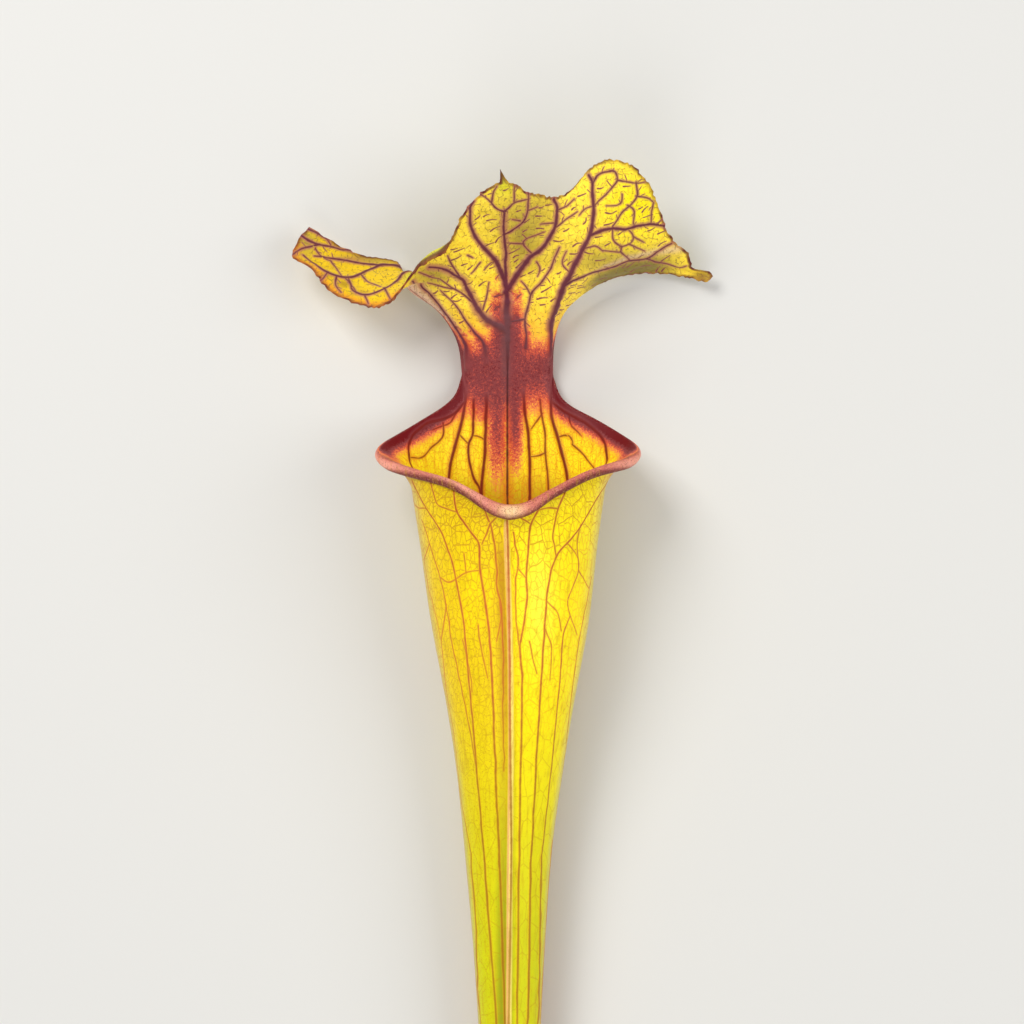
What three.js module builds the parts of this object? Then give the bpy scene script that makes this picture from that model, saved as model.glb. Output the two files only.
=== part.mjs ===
// One pitcher of a yellow pitcher plant: the leaf of a Sarracenia, picked and laid on its back.
// It grew as one piece. A long tube narrows to the cut stalk, with a low wing down its front.
// Its mouth has a rolled lip that runs low to a spout in front, and climbs past two shoulders
// to a narrow neck at the back. The neck carries the lid, a waved leaf with two long lobes.
//
// Millimetres. +X is the leaf's right, +Y runs from the cut end to the lid, +Z is up.
// The origin is on the surface that the leaf lies on, below the middle of its box.

import * as THREE from 'three';

// Driving dimensions
const LENGTH = 398.2;
const MOUTH_HEIGHT = 300;
const WALL = 1;
const LID_WALL = 0.8;
const WING_HEIGHT = 1.5;
const CAVITY_BOTTOM = 55;
const CAVITY_TAPER = 60;
const SPINE_LENGTH = 3.2;

// Where the camera of the photograph stood over the leaf. The mouth's spout is close to the
// middle of its 1024 by 1024 pixels, where one pixel spans 0.28 mm at half the tube's depth.
const PHOTO_CENTRE = 512;
const PIXEL_SIZE = 0.28;
const SCALE_DISTANCE = 1200;
const CAMERA_HEIGHT = 1225;
const CAMERA_X = 3.2;
const CAMERA_Y = MOUTH_HEIGHT - LENGTH / 2;

// The tube's axis stands at this x, and the sections are a little flatter than round.
const AXIS_X = 2.5;
const SECTION_DEPTH = 0.94;

// Sections of the tube: height above the cut end, half width, height of its back, shift in x
const TUBE_SECTIONS = [
  [0, 4.2, 0.5, 0],
  [35, 4.8, 2.2, 0],
  [75, 5.6, 4.6, 0],
  [115, 6.8, 6, 0],
  [157, 8.3, 5.8, 0],
  [186, 10.2, 4.6, -0.2],
  [207, 12, 3.2, -0.3],
  [228, 14.6, 1.5, 0.1],
  [249, 18, 0.3, 0.2],
  [270, 21.8, 0, 0.1],
  [291, 24.4, 0.1, -0.2],
  [309, 26.9, 0.9, -0.3],
  [330, 28.8, 2.6, -0.3],
  [345, 30, 4.2, -0.3],
];

// Half of the back, in degrees round from the front, leaves the rim at the neck's two edges.
const NECK_ANGLE = 155;

// The mouth's rim, read from the photograph on each side of the spout:
// degrees round from the front, pixel across, pixel down, height above the surface
const RIM_LEFT = [
  [0, 509.5, 508.5, 50.5],
  [14, 493, 505, 50],
  [28, 475, 496, 48],
  [42, 456, 486.5, 44.5],
  [56, 434, 479, 39.5],
  [70, 410, 471, 33.5],
  [82, 389.5, 460.5, 28],
  [93, 381.5, 451, 23],
  [105, 391, 441.5, 18],
  [118, 410, 430.5, 13],
  [131, 431, 417.5, 8.5],
  [143, 450.5, 403.5, 5.2],
  [150, 459.5, 390, 3.4],
  [155, 463.5, 374, 2.4],
];
const RIM_RIGHT = [
  [14, 527, 505.5, 50],
  [28, 545, 496.5, 48],
  [42, 563, 487.5, 44.5],
  [56, 585, 476.5, 39.5],
  [70, 609, 467, 33.5],
  [82, 627, 459, 28],
  [93, 634.5, 450.5, 23],
  [105, 627, 441.5, 18],
  [118, 608, 429.5, 13],
  [131, 585, 416.5, 8.5],
  [143, 564, 403.5, 5.2],
  [150, 555.5, 390, 3.4],
  [155, 551.5, 374, 2.4],
];

// The lip's roll: degrees round from the front, radius
const LIP_RADII = [
  [0, 2.15],
  [14, 1.85],
  [32, 1.35],
  [60, 1.3],
  [80, 1.55],
  [93, 1.5],
  [108, 1],
  [140, 0.7],
  [155, 0.5],
];

// How far below the rim the wall starts to flare: degrees round from the front, distance
const FLARE_DEPTHS = [
  [0, 7],
  [45, 8],
  [70, 9],
  [93, 11],
  [125, 24],
  [155, 34],
  [180, 34],
];
const FLARE_POWER = 2.4;

// Lines up the neck and lid, from its left margin at -1 to its right margin at 1.
// Each has a point at each share of the way up: pixel across, pixel down, height.
const LID_SHARES = [0, 0.12, 0.27, 0.43, 0.57, 0.7, 0.84, 1];
const LID_LINES = [
  {
    side: -1,
    points: [
      [463.5, 374, 2.4], [460.5, 350, 2.6], [451, 327, 4.2], [430, 304, 6],
      [407, 286, 5.5], [397, 263, 3.8], [360, 255.5, 4], [309, 227, 8],
    ],
  },
  {
    side: -0.8,
    points: [
      [470, 374, 4.6], [468, 348, 6.4], [460, 322, 9.5], [443, 298, 12.5],
      [422, 271, 13], [404, 262, 11], [359, 257, 10], [300, 243, 11],
    ],
  },
  {
    side: -0.5,
    points: [
      [486, 374, 5.4], [485, 345, 8], [479, 319, 12], [468, 296, 16],
      [455, 278, 19.5], [440, 267, 22], [421, 267, 24.5], [405, 286, 25],
    ],
  },
  {
    side: 0,
    points: [
      [509.5, 374, 4.4], [509, 345, 6], [508, 310, 10], [507, 278, 16],
      [506.5, 250, 22.5], [506, 225, 29], [505, 203, 34.5], [504, 182, 39.5],
    ],
  },
  {
    side: 0.5,
    points: [
      [531, 374, 5.4], [533, 345, 8], [541, 312, 12], [556, 280, 16.5],
      [570, 252, 20.5], [582, 224, 24.5], [598, 192, 28.5], [616, 161, 31.5],
    ],
  },
  {
    side: 0.8,
    points: [
      [547, 374, 4.6], [547, 347, 7], [556, 313, 10], [577, 284, 13.5],
      [600, 269, 14.5], [628, 260, 14], [661, 256, 12], [689, 258, 9],
    ],
  },
  {
    side: 1,
    points: [
      [551.5, 374, 2.4], [552.5, 348, 2.2], [560.5, 318, 2.6], [580, 296, 3.6],
      [606, 280.5, 3.8], [637, 273, 3.6], [672, 273.5, 3.6], [707, 281.5, 5],
    ],
  },
];

// The lid's free margin, from the end of the left lobe over the apex to the end of the right:
// side, pixel across, pixel down, height
const LID_MARGIN = [
  [-1, 309, 227, 8],
  [-0.94, 293, 254, 12],
  [-0.88, 308, 265.5, 15.5],
  [-0.8, 327, 287, 19],
  [-0.72, 351, 301, 21],
  [-0.64, 377, 306.5, 23],
  [-0.57, 394, 298, 24],
  [-0.5, 405, 284, 25],
  [-0.42, 420, 266, 26.5],
  [-0.33, 445, 250, 29],
  [-0.25, 457, 227, 31],
  [-0.17, 469, 206, 34],
  [-0.08, 486, 190.5, 37],
  [0, 504, 182, 39.5],
  [0.08, 520, 189, 36],
  [0.16, 538, 196, 32],
  [0.24, 556, 198, 27.5],
  [0.32, 573, 189, 27],
  [0.4, 589, 171, 29],
  [0.5, 614, 161, 31.5],
  [0.58, 634, 169, 30],
  [0.66, 650.5, 190, 26],
  [0.74, 661.5, 218, 20],
  [0.82, 673, 242, 14],
  [0.9, 688.5, 258.5, 9],
  [0.94, 695, 270, 6.5],
  [0.97, 710, 272.5, 5],
  [1, 707, 281.5, 5],
];
const MARGIN_PULL = 3;

// How finely the surface is divided
const RIM_ANGLES = [4, 13, 24, 36, 48, 60, 71, 80, 88, 96, 105, 115, 125, 135, 143, 149, 155];
const BACK_ANGLES = [163, 171.5];
const TUBE_STEPS = [
  0, 0.06, 0.14, 0.22, 0.3, 0.38, 0.46, 0.54, 0.61, 0.68,
  0.74, 0.8, 0.85, 0.89, 0.92, 0.945, 0.965, 0.983, 1,
];
const LID_ROWS = 22;
const LID_COLUMNS = 36;
const EDGE_STEPS = 5;
const WING_ANGLE = 3;

// A point of the photograph, at a height above the surface, in the leaf's own frame
function fromPhoto([across, down, height]) {
  const size = (PIXEL_SIZE * (CAMERA_HEIGHT - height)) / SCALE_DISTANCE;
  return [
    CAMERA_X + (across - PHOTO_CENTRE) * size,
    CAMERA_Y + (PHOTO_CENTRE - down) * size,
    height,
  ];
}

// A natural cubic spline through rows of numbers, one row at each knot
function makeSpline(knots, rows) {
  const last = knots.length - 1;
  const bends = rows.map((row) => row.map(() => 0));
  const diagonal = new Array(last + 1).fill(1);
  for (let i = 1; i < last; i += 1) {
    const before = knots[i] - knots[i - 1];
    const after = knots[i + 1] - knots[i];
    const share = i > 1 ? before / diagonal[i - 1] : 0;
    diagonal[i] = 2 * (before + after) - share * before;
    rows[i].forEach((value, axis) => {
      const turn = (rows[i + 1][axis] - value) / after - (value - rows[i - 1][axis]) / before;
      bends[i][axis] = 6 * turn - share * bends[i - 1][axis];
    });
  }
  for (let i = last - 1; i > 0; i -= 1) {
    const after = knots[i + 1] - knots[i];
    bends[i] = bends[i].map((bend, axis) => (bend - after * bends[i + 1][axis]) / diagonal[i]);
  }
  return (u) => {
    let k = 0;
    while (k < last - 1 && u >= knots[k + 1]) k += 1;
    const span = knots[k + 1] - knots[k];
    const t = u - knots[k];
    return rows[k].map((value, axis) => {
      const here = bends[k][axis];
      const next = bends[k + 1][axis];
      const slope = (rows[k + 1][axis] - value) / span - (span * (2 * here + next)) / 6;
      return value + t * slope + (t * t * here) / 2 + (t * t * t * (next - here)) / (6 * span);
    });
  };
}

function splineOfTable(table, convert = (row) => row) {
  return makeSpline(table.map((row) => row[0]), table.map((row) => convert(row.slice(1))));
}

// Straight lines between the rows of a table of two columns
function interpolate(table, u) {
  const next = table.findIndex((row) => row[0] > u);
  if (next < 0) return table[table.length - 1][1];
  if (next === 0) return table[0][1];
  const [u0, value0] = table[next - 1];
  const [u1, value1] = table[next];
  return value0 + ((value1 - value0) * (u - u0)) / (u1 - u0);
}

const sectionAt = splineOfTable(TUBE_SECTIONS);
const rimAt = splineOfTable(
  [...RIM_LEFT.map(([angle, ...point]) => [-angle, ...point]).reverse(), ...RIM_RIGHT],
  fromPhoto,
);
const marginAt = splineOfTable(LID_MARGIN, fromPhoto);
const lidSides = LID_LINES.map((line) => line.side);
const lidLines = LID_LINES.map((line) => makeSpline(LID_SHARES, line.points.map(fromPhoto)));

// The tube's plain wall, at an angle round from its front and a height above the cut end
function plainWall(angle, height) {
  const [halfWidth, back, shift] = sectionAt(height);
  const depth = halfWidth * SECTION_DEPTH;
  const turn = THREE.MathUtils.degToRad(angle);
  return new THREE.Vector3(
    AXIS_X + shift + halfWidth * Math.sin(turn),
    height - LENGTH / 2,
    back + depth + depth * Math.cos(turn),
  );
}

// The lid's sheet, at a side from -1 to 1 and a share of the way up it. The lines are lofted
// across, and the end of each is drawn to the free margin.
function lidSheet(side, share) {
  const across = makeSpline(lidSides, lidLines.map((line) => line(share)))(side);
  const loftEnd = makeSpline(lidSides, lidLines.map((line) => line(1)))(side);
  const margin = marginAt(side);
  const pull = share ** MARGIN_PULL;
  return new THREE.Vector3(...across.map((value, i) => value + pull * (margin[i] - loftEnd[i])));
}

// Where a line up the tube ends: on the mouth's rim, or at the foot of the neck
function tubeTop(angle) {
  const round = Math.abs(angle);
  if (round <= NECK_ANGLE) return new THREE.Vector3(...rimAt(angle));
  return lidSheet(sideOfAngle(angle), 0);
}

function sideOfAngle(angle) {
  return (Math.sign(angle) * (180 - Math.abs(angle))) / (180 - NECK_ANGLE);
}

// The tube's sheet, at an angle and a share of the way from the cut end to the top. The plain
// wall leaves its circle on a steepening curve over the last stretch, to meet the rim.
function tubeSheet(angle, share) {
  const top = tubeTop(angle);
  const topHeight = top.y + LENGTH / 2;
  const height = share * topHeight;
  const flareDepth = interpolate(FLARE_DEPTHS, Math.abs(angle));
  const flare = Math.max(0, (height - topHeight + flareDepth) / flareDepth) ** FLARE_POWER;
  const wallTop = plainWall(angle, topHeight);
  return plainWall(angle, height).addScaledVector(top.sub(wallTop), flare);
}

// The outward normal of a sheet, from small steps along its two parameters
function sheetNormal(sheet, u, v, stepU, stepV, lowV) {
  const along = sheet(u + stepU, v).sub(sheet(u - stepU, v));
  const up = sheet(u, Math.min(1, v + stepV)).sub(sheet(u, Math.max(lowV, v - stepV)));
  return along.cross(up).normalize();
}

function tubeNormal(angle, share) {
  const safeAngle = Math.sign(angle) * Math.min(Math.abs(angle), 179);
  return sheetNormal(tubeSheet, safeAngle, share, 0.5, 0.004, 0);
}

function lidNormal(side, share) {
  const safeSide = THREE.MathUtils.clamp(side, -0.99, 0.99);
  return sheetNormal(lidSheet, safeSide, share, 0.01, 0.01, 0).negate();
}

// Points and triangles of one closed skin, whose faces point out of the leaf
class Skin {
  constructor() {
    this.points = [];
    this.triangles = [];
  }

  add(point) {
    this.points.push(point);
    return this.points.length - 1;
  }

  addRow(points) {
    return points.map((point) => this.add(point));
  }

  triangle(a, b, c, flip) {
    if (a === b || b === c || c === a) return;
    this.triangles.push(flip ? [a, c, b] : [a, b, c]);
  }

  // Two rows of the same length, each cell split along the same diagonal
  band(lower, upper, flip = false) {
    for (let i = 0; i < lower.length - 1; i += 1) {
      this.triangle(lower[i], lower[i + 1], upper[i + 1], flip);
      this.triangle(lower[i], upper[i + 1], upper[i], flip);
    }
  }

  // Two rows of any lengths, walked side by side by their share of the way
  stitch(lower, upper, flip = false) {
    let i = 0;
    let j = 0;
    while (i < lower.length - 1 || j < upper.length - 1) {
      const nextLower = (i + 0.5) / (lower.length - 1);
      const nextUpper = (j + 0.5) / (upper.length - 1);
      if (j === upper.length - 1 || (i < lower.length - 1 && nextLower <= nextUpper)) {
        this.triangle(lower[i], lower[i + 1], upper[j], flip);
        i += 1;
      } else {
        this.triangle(lower[i], upper[j + 1], upper[j], flip);
        j += 1;
      }
    }
  }

  // A row drawn together to one point
  fan(row, centre, flip = false) {
    for (let i = 0; i < row.length - 1; i += 1) {
      this.triangle(row[i], row[i + 1], centre, flip);
    }
  }

  geometry() {
    const geometry = new THREE.BufferGeometry();
    const positions = this.points.flatMap((point) => point.toArray());
    geometry.setAttribute('position', new THREE.Float32BufferAttribute(positions, 3));
    geometry.setIndex(this.triangles.flat());
    geometry.computeVertexNormals();
    return geometry;
  }
}

// One sample of the leaf's sheet, with the skin's points on its outer and inner face
function sample(sheet, normalOf, u, v, wall) {
  return { position: sheet(u, v), normal: normalOf(u, v), wall };
}

function onFace(place, side) {
  return place.position.clone().addScaledVector(place.normal, (side * place.wall) / 2);
}

// Nothing reaches below the surface that the leaf lies on. This flattens a spot on its back.
function rest(point) {
  point.setZ(Math.max(0, point.z));
  return point;
}

// The wing stands out of the tube's front as a low ridge.
function wingLift(angle) {
  return WING_HEIGHT * Math.max(0, 1 - Math.abs(angle) / WING_ANGLE);
}

// The cavity narrows from the full bore to a point inside the stalk.
function cavityClosing(height) {
  return THREE.MathUtils.clamp(1 - (height - CAVITY_BOTTOM) / CAVITY_TAPER, 0, 1) ** 2;
}

// Points round an edge, from the inner face over it to the outer face. They lie on a circle
// that touches the inner face, and is as thick as the wall or, at the lip, thicker.
function edgeArc(place, outward, radius) {
  const centre = place.position.clone().addScaledVector(place.normal, radius - place.wall / 2);
  const lastTurn = -Math.acos(THREE.MathUtils.clamp((place.wall - radius) / radius, -1, 1));
  return Array.from({ length: EDGE_STEPS + 1 }, (_, k) => {
    const turn = Math.PI + ((lastTurn - Math.PI) * k) / EDGE_STEPS;
    return centre
      .clone()
      .addScaledVector(place.normal, radius * Math.cos(turn))
      .addScaledVector(outward, radius * Math.sin(turn));
  });
}

// The direction that leaves the sheet at an edge, square to the edge and to the normal
function outwardAt(edge, k) {
  const before = edge[(k + edge.length - 1) % edge.length].place;
  const after = edge[(k + 1) % edge.length].place;
  const along = after.position.clone().sub(before.position);
  return edge[k].place.normal.clone().cross(along).normalize();
}

function buildLeaf() {
  const skin = new Skin();

  const rimAngles = [...RIM_ANGLES.map((angle) => -angle).reverse(), 0, ...RIM_ANGLES];
  const backAngles = [...BACK_ANGLES, 180, ...BACK_ANGLES.map((angle) => -angle).reverse()];
  const angles = [...rimAngles, ...backAngles];

  const tube = TUBE_STEPS.map((share) => (
    angles.map((angle) => sample(tubeSheet, tubeNormal, angle, share, WALL))
  ));
  const shares = Array.from({ length: LID_ROWS + 1 }, (_, k) => k / LID_ROWS);
  const sides = Array.from({ length: LID_COLUMNS + 1 }, (_, k) => 1 - (2 * k) / LID_COLUMNS);
  const lid = shares.map((share) => (
    sides.map((side) => sample(lidSheet, lidNormal, side, share, LID_WALL))
  ));

  // The apex ends in a short spine.
  const apex = lid[LID_ROWS][LID_COLUMNS / 2];
  apex.position.add(new THREE.Vector3(-0.6, SPINE_LENGTH, 1));

  // The leaf's one free edge: round the mouth's rim, then round the lid and back to the neck
  const neckLeft = lid[0][LID_COLUMNS];
  const neckRight = lid[0][0];
  const rim = tube[TUBE_STEPS.length - 1].slice(0, rimAngles.length);
  const edge = rim.map((place, k) => ({
    place,
    radius: interpolate(LIP_RADII, Math.abs(rimAngles[k])),
  }));
  edge[0].place = neckLeft;
  edge[edge.length - 1].place = neckRight;
  const around = [
    ...lid.slice(1).map((row) => row[0]),
    ...lid[LID_ROWS].slice(1),
    ...lid.slice(1, LID_ROWS).reverse().map((row) => row[LID_COLUMNS]),
  ];
  around.forEach((place) => edge.push({ place, radius: LID_WALL / 2 }));
  edge.forEach((point, k) => {
    point.arc = skin.addRow(edgeArc(point.place, outwardAt(edge, k), point.radius).map(rest));
    point.place.inner = point.arc[0];
    point.place.outer = point.arc[EDGE_STEPS];
  });
  edge.forEach((point, k) => skin.band(point.arc, edge[(k + 1) % edge.length].arc));

  // Rows of points on the two faces of the lid
  [-1, 1].forEach((face) => {
    const key = face > 0 ? 'outer' : 'inner';
    lid.flat().forEach((place) => {
      if (place[key] === undefined) place[key] = skin.add(rest(onFace(place, face)));
    });
    for (let k = 0; k < LID_ROWS; k += 1) {
      const lower = lid[k].map((place) => place[key]);
      skin.band(lower, lid[k + 1].map((place) => place[key]), face < 0);
    }
  });

  // Rows on the outer face of the tube, with its wing, and the flat cut end
  const last = TUBE_STEPS.length - 1;
  const rimCount = rimAngles.length;
  const closed = (row) => [...row, row[0]];
  const outerRows = tube.slice(0, last).map((row, k) => skin.addRow(row.map((place, j) => {
    const lift = wingLift(angles[j]);
    const point = onFace(place, 1).addScaledVector(place.normal, lift);
    if (k === 0) point.y = -LENGTH / 2;
    return rest(point);
  })));
  const cutRow = closed(outerRows[0]);
  const [, cutBack] = sectionAt(0);
  const cutHeight = cutBack + TUBE_SECTIONS[0][1] * SECTION_DEPTH;
  skin.fan(cutRow, skin.add(new THREE.Vector3(AXIS_X, -LENGTH / 2, cutHeight)), true);
  for (let k = 0; k < last - 1; k += 1) {
    skin.band(closed(outerRows[k]), closed(outerRows[k + 1]));
  }

  // Rows on the inner face, which close to a point in the stalk
  const heightOf = (place) => place.position.y + LENGTH / 2;
  const innerSteps = tube.slice(0, last).filter((row) => heightOf(row[0]) > CAVITY_BOTTOM + 5);
  const innerRows = innerSteps.map((row) => skin.addRow(row.map((place) => {
    const [halfWidth, back, shift] = sectionAt(heightOf(place));
    const axis = new THREE.Vector3(AXIS_X + shift, 0, back + halfWidth * SECTION_DEPTH);
    axis.y = place.position.y;
    return onFace(place, -1).lerp(axis, cavityClosing(heightOf(place)));
  })));
  const [bottomWidth, bottomBack] = sectionAt(CAVITY_BOTTOM);
  const bottomHeight = bottomBack + bottomWidth * SECTION_DEPTH;
  const bottom = new THREE.Vector3(AXIS_X, CAVITY_BOTTOM - LENGTH / 2, bottomHeight);
  skin.fan(closed(innerRows[0]), skin.add(bottom));
  for (let k = 0; k < innerRows.length - 1; k += 1) {
    skin.band(closed(innerRows[k]), closed(innerRows[k + 1]), true);
  }

  // The last rows meet the rim in front and the foot of the neck behind.
  const join = (rows, key, flip) => {
    const top = rows[rows.length - 1];
    skin.band(top.slice(0, rimCount), edge.slice(0, rimCount).map(({ place }) => place[key]), flip);
    skin.stitch(closed(top).slice(rimCount - 1), lid[0].map((place) => place[key]), flip);
  };
  join(outerRows, 'outer', false);
  join(innerRows, 'inner', true);
  return skin.geometry();
}

const pitcher = new THREE.Mesh(
  buildLeaf(),
  new THREE.MeshStandardMaterial({ color: 0xe6cf1f, roughness: 0.5, metalness: 0 }),
);
pitcher.name = 'pitcher';

const plant = new THREE.Group();
plant.add(pitcher);

export default plant;
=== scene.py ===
"""One pitcher of a yellow pitcher plant, picked and laid on its back on a pale table.

The leaf is one closed skin over a curved sheet: a long tube that tapers to its cut stalk, a
rolled lip round the mouth, a narrow neck and a waved lid. The sheet follows the same tables as
the solid part. This script adds what is too fine for the solid: a veined relief, a frayed
margin, the apex's spine, and the colours and pattern of a living leaf, with painted shade,
sheen, highlights and a faint painted glow laid in among them.

Places are worked out in millimetres, and the finished mesh is in metres. +X is the leaf's
right, +Y runs from the cut end to the lid and +Z is up.
"""

import logging
import math
from dataclasses import dataclass, field
from enum import Enum

import bpy
import numpy as np
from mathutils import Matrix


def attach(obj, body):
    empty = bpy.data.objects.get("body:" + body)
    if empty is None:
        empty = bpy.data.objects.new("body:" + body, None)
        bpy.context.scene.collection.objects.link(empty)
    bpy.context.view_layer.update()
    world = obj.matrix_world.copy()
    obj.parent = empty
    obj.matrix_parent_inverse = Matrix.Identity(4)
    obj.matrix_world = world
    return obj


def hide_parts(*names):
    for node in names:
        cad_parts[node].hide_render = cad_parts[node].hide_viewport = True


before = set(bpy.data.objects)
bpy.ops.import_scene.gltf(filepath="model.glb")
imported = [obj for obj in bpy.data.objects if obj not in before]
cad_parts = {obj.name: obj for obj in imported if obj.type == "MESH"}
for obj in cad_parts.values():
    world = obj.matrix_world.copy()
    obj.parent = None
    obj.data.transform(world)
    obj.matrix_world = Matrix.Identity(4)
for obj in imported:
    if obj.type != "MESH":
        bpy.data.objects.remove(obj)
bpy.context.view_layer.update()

LOG = logging.getLogger("pitcher_leaf")
MILLIMETRE = 0.001
Array = np.ndarray
Colour = tuple[float, float, float]


# Shapes of curves


def smoothstep(low: float, high: float, value: Array) -> Array:
    """Eases from 0 at low to 1 at high: 3t² - 2t³, where t is the share of the way.

    Args:
        low: The value at which the step starts.
        high: The value at which it is complete. It may be below low, for a falling step.
        value: Where to work it out.

    Returns:
        The eased share at each value.
    """
    share = np.clip((value - low) / (high - low), 0, 1)
    return share * share * (3 - 2 * share)


def natural_spline(knots: Array, rows: Array, at: Array) -> Array:
    """Draws a natural cubic spline through rows of numbers, one row at each knot.

    The bend at each inner knot balances the turn between the slopes on its two sides, and the
    bend at both ends is zero. Between knots the curve is the cubic with those bends.

    Args:
        knots: Rising parameters, of shape (n,).
        rows: The numbers at each knot, of shape (n, k).
        at: Parameters to work the curve out at, of shape (m,).

    Returns:
        The curve's numbers, of shape (m, k).
    """
    knots = np.asarray(knots, float)
    rows = np.asarray(rows, float)
    count = len(knots)
    step = np.diff(knots)
    slopes = np.diff(rows, axis=0) / step[:, None]
    system = np.eye(count)
    inner = np.arange(1, count - 1)
    system[inner, inner - 1] = step[:-1]
    system[inner, inner] = 2 * (step[:-1] + step[1:])
    system[inner, inner + 1] = step[1:]
    turns = np.zeros_like(rows)
    turns[1:-1] = 6 * np.diff(slopes, axis=0)
    bends = np.linalg.solve(system, turns)
    k = np.clip(np.searchsorted(knots, at, side="right") - 1, 0, count - 2)
    t = (at - knots[k])[:, None]
    span = step[k][:, None]
    start = slopes[k] - span * (2 * bends[k] + bends[k + 1]) / 6
    return rows[k] + t * start + t**2 * bends[k] / 2 + t**3 * (bends[k + 1] - bends[k]) / (6 * span)


def unit(vectors: Array) -> Array:
    """Returns vectors of length 1 with the directions of the given ones."""
    return vectors / np.maximum(np.linalg.norm(vectors, axis=-1, keepdims=True), 1e-9)


def wrap(angle: Array) -> Array:
    """Returns angles in degrees brought into the half turns to both sides of the front."""
    return (angle + 180) % 360 - 180


# The leaf's sheet


@dataclass(frozen=True)
class PhotoView:
    """Where the photograph's camera stood over the leaf, in millimetres and pixels."""

    centre: float = 512.0
    pixel: float = 0.28
    distance: float = 1200.0
    height: float = 1225.0
    x: float = 3.2
    y: float = 100.9
    picture_width: float = 1024.0
    sensor_width: float = 36.0

    def place(self, seen: Array) -> Array:
        """Carries a pixel and a height into the leaf's own frame.

        Args:
            seen: Pixel across, pixel down and height above the table, in the last axis.

        Returns:
            The places, in millimetres.
        """
        across, down, height = np.moveaxis(np.asarray(seen, float), -1, 0)
        size = self.pixel * (self.height - height) / self.distance
        x = self.x + (across - self.centre) * size
        y = self.y + (self.centre - down) * size
        return np.stack([x, y, height], -1)

    def pixels(self, places: Array) -> Array:
        """Returns where places are seen: pixel across and pixel down, in the last axis."""
        size = self.pixel * (self.height - places[..., 2]) / self.distance
        across = self.centre + (places[..., 0] - self.x) / size
        down = self.centre - (places[..., 1] - self.y) / size
        return np.stack([across, down], -1)

    def add_camera(self) -> None:
        """Stands the scene's camera over the leaf, where the photograph's camera stood."""
        data = bpy.data.cameras.new("photo_camera")
        data.sensor_width = self.sensor_width
        data.lens = self.sensor_width * self.distance / (self.picture_width * self.pixel)
        camera = bpy.data.objects.new("photo_camera", data)
        camera.location = (self.x * MILLIMETRE, self.y * MILLIMETRE, self.height * MILLIMETRE)
        bpy.context.scene.collection.objects.link(camera)
        bpy.context.scene.camera = camera


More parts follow.
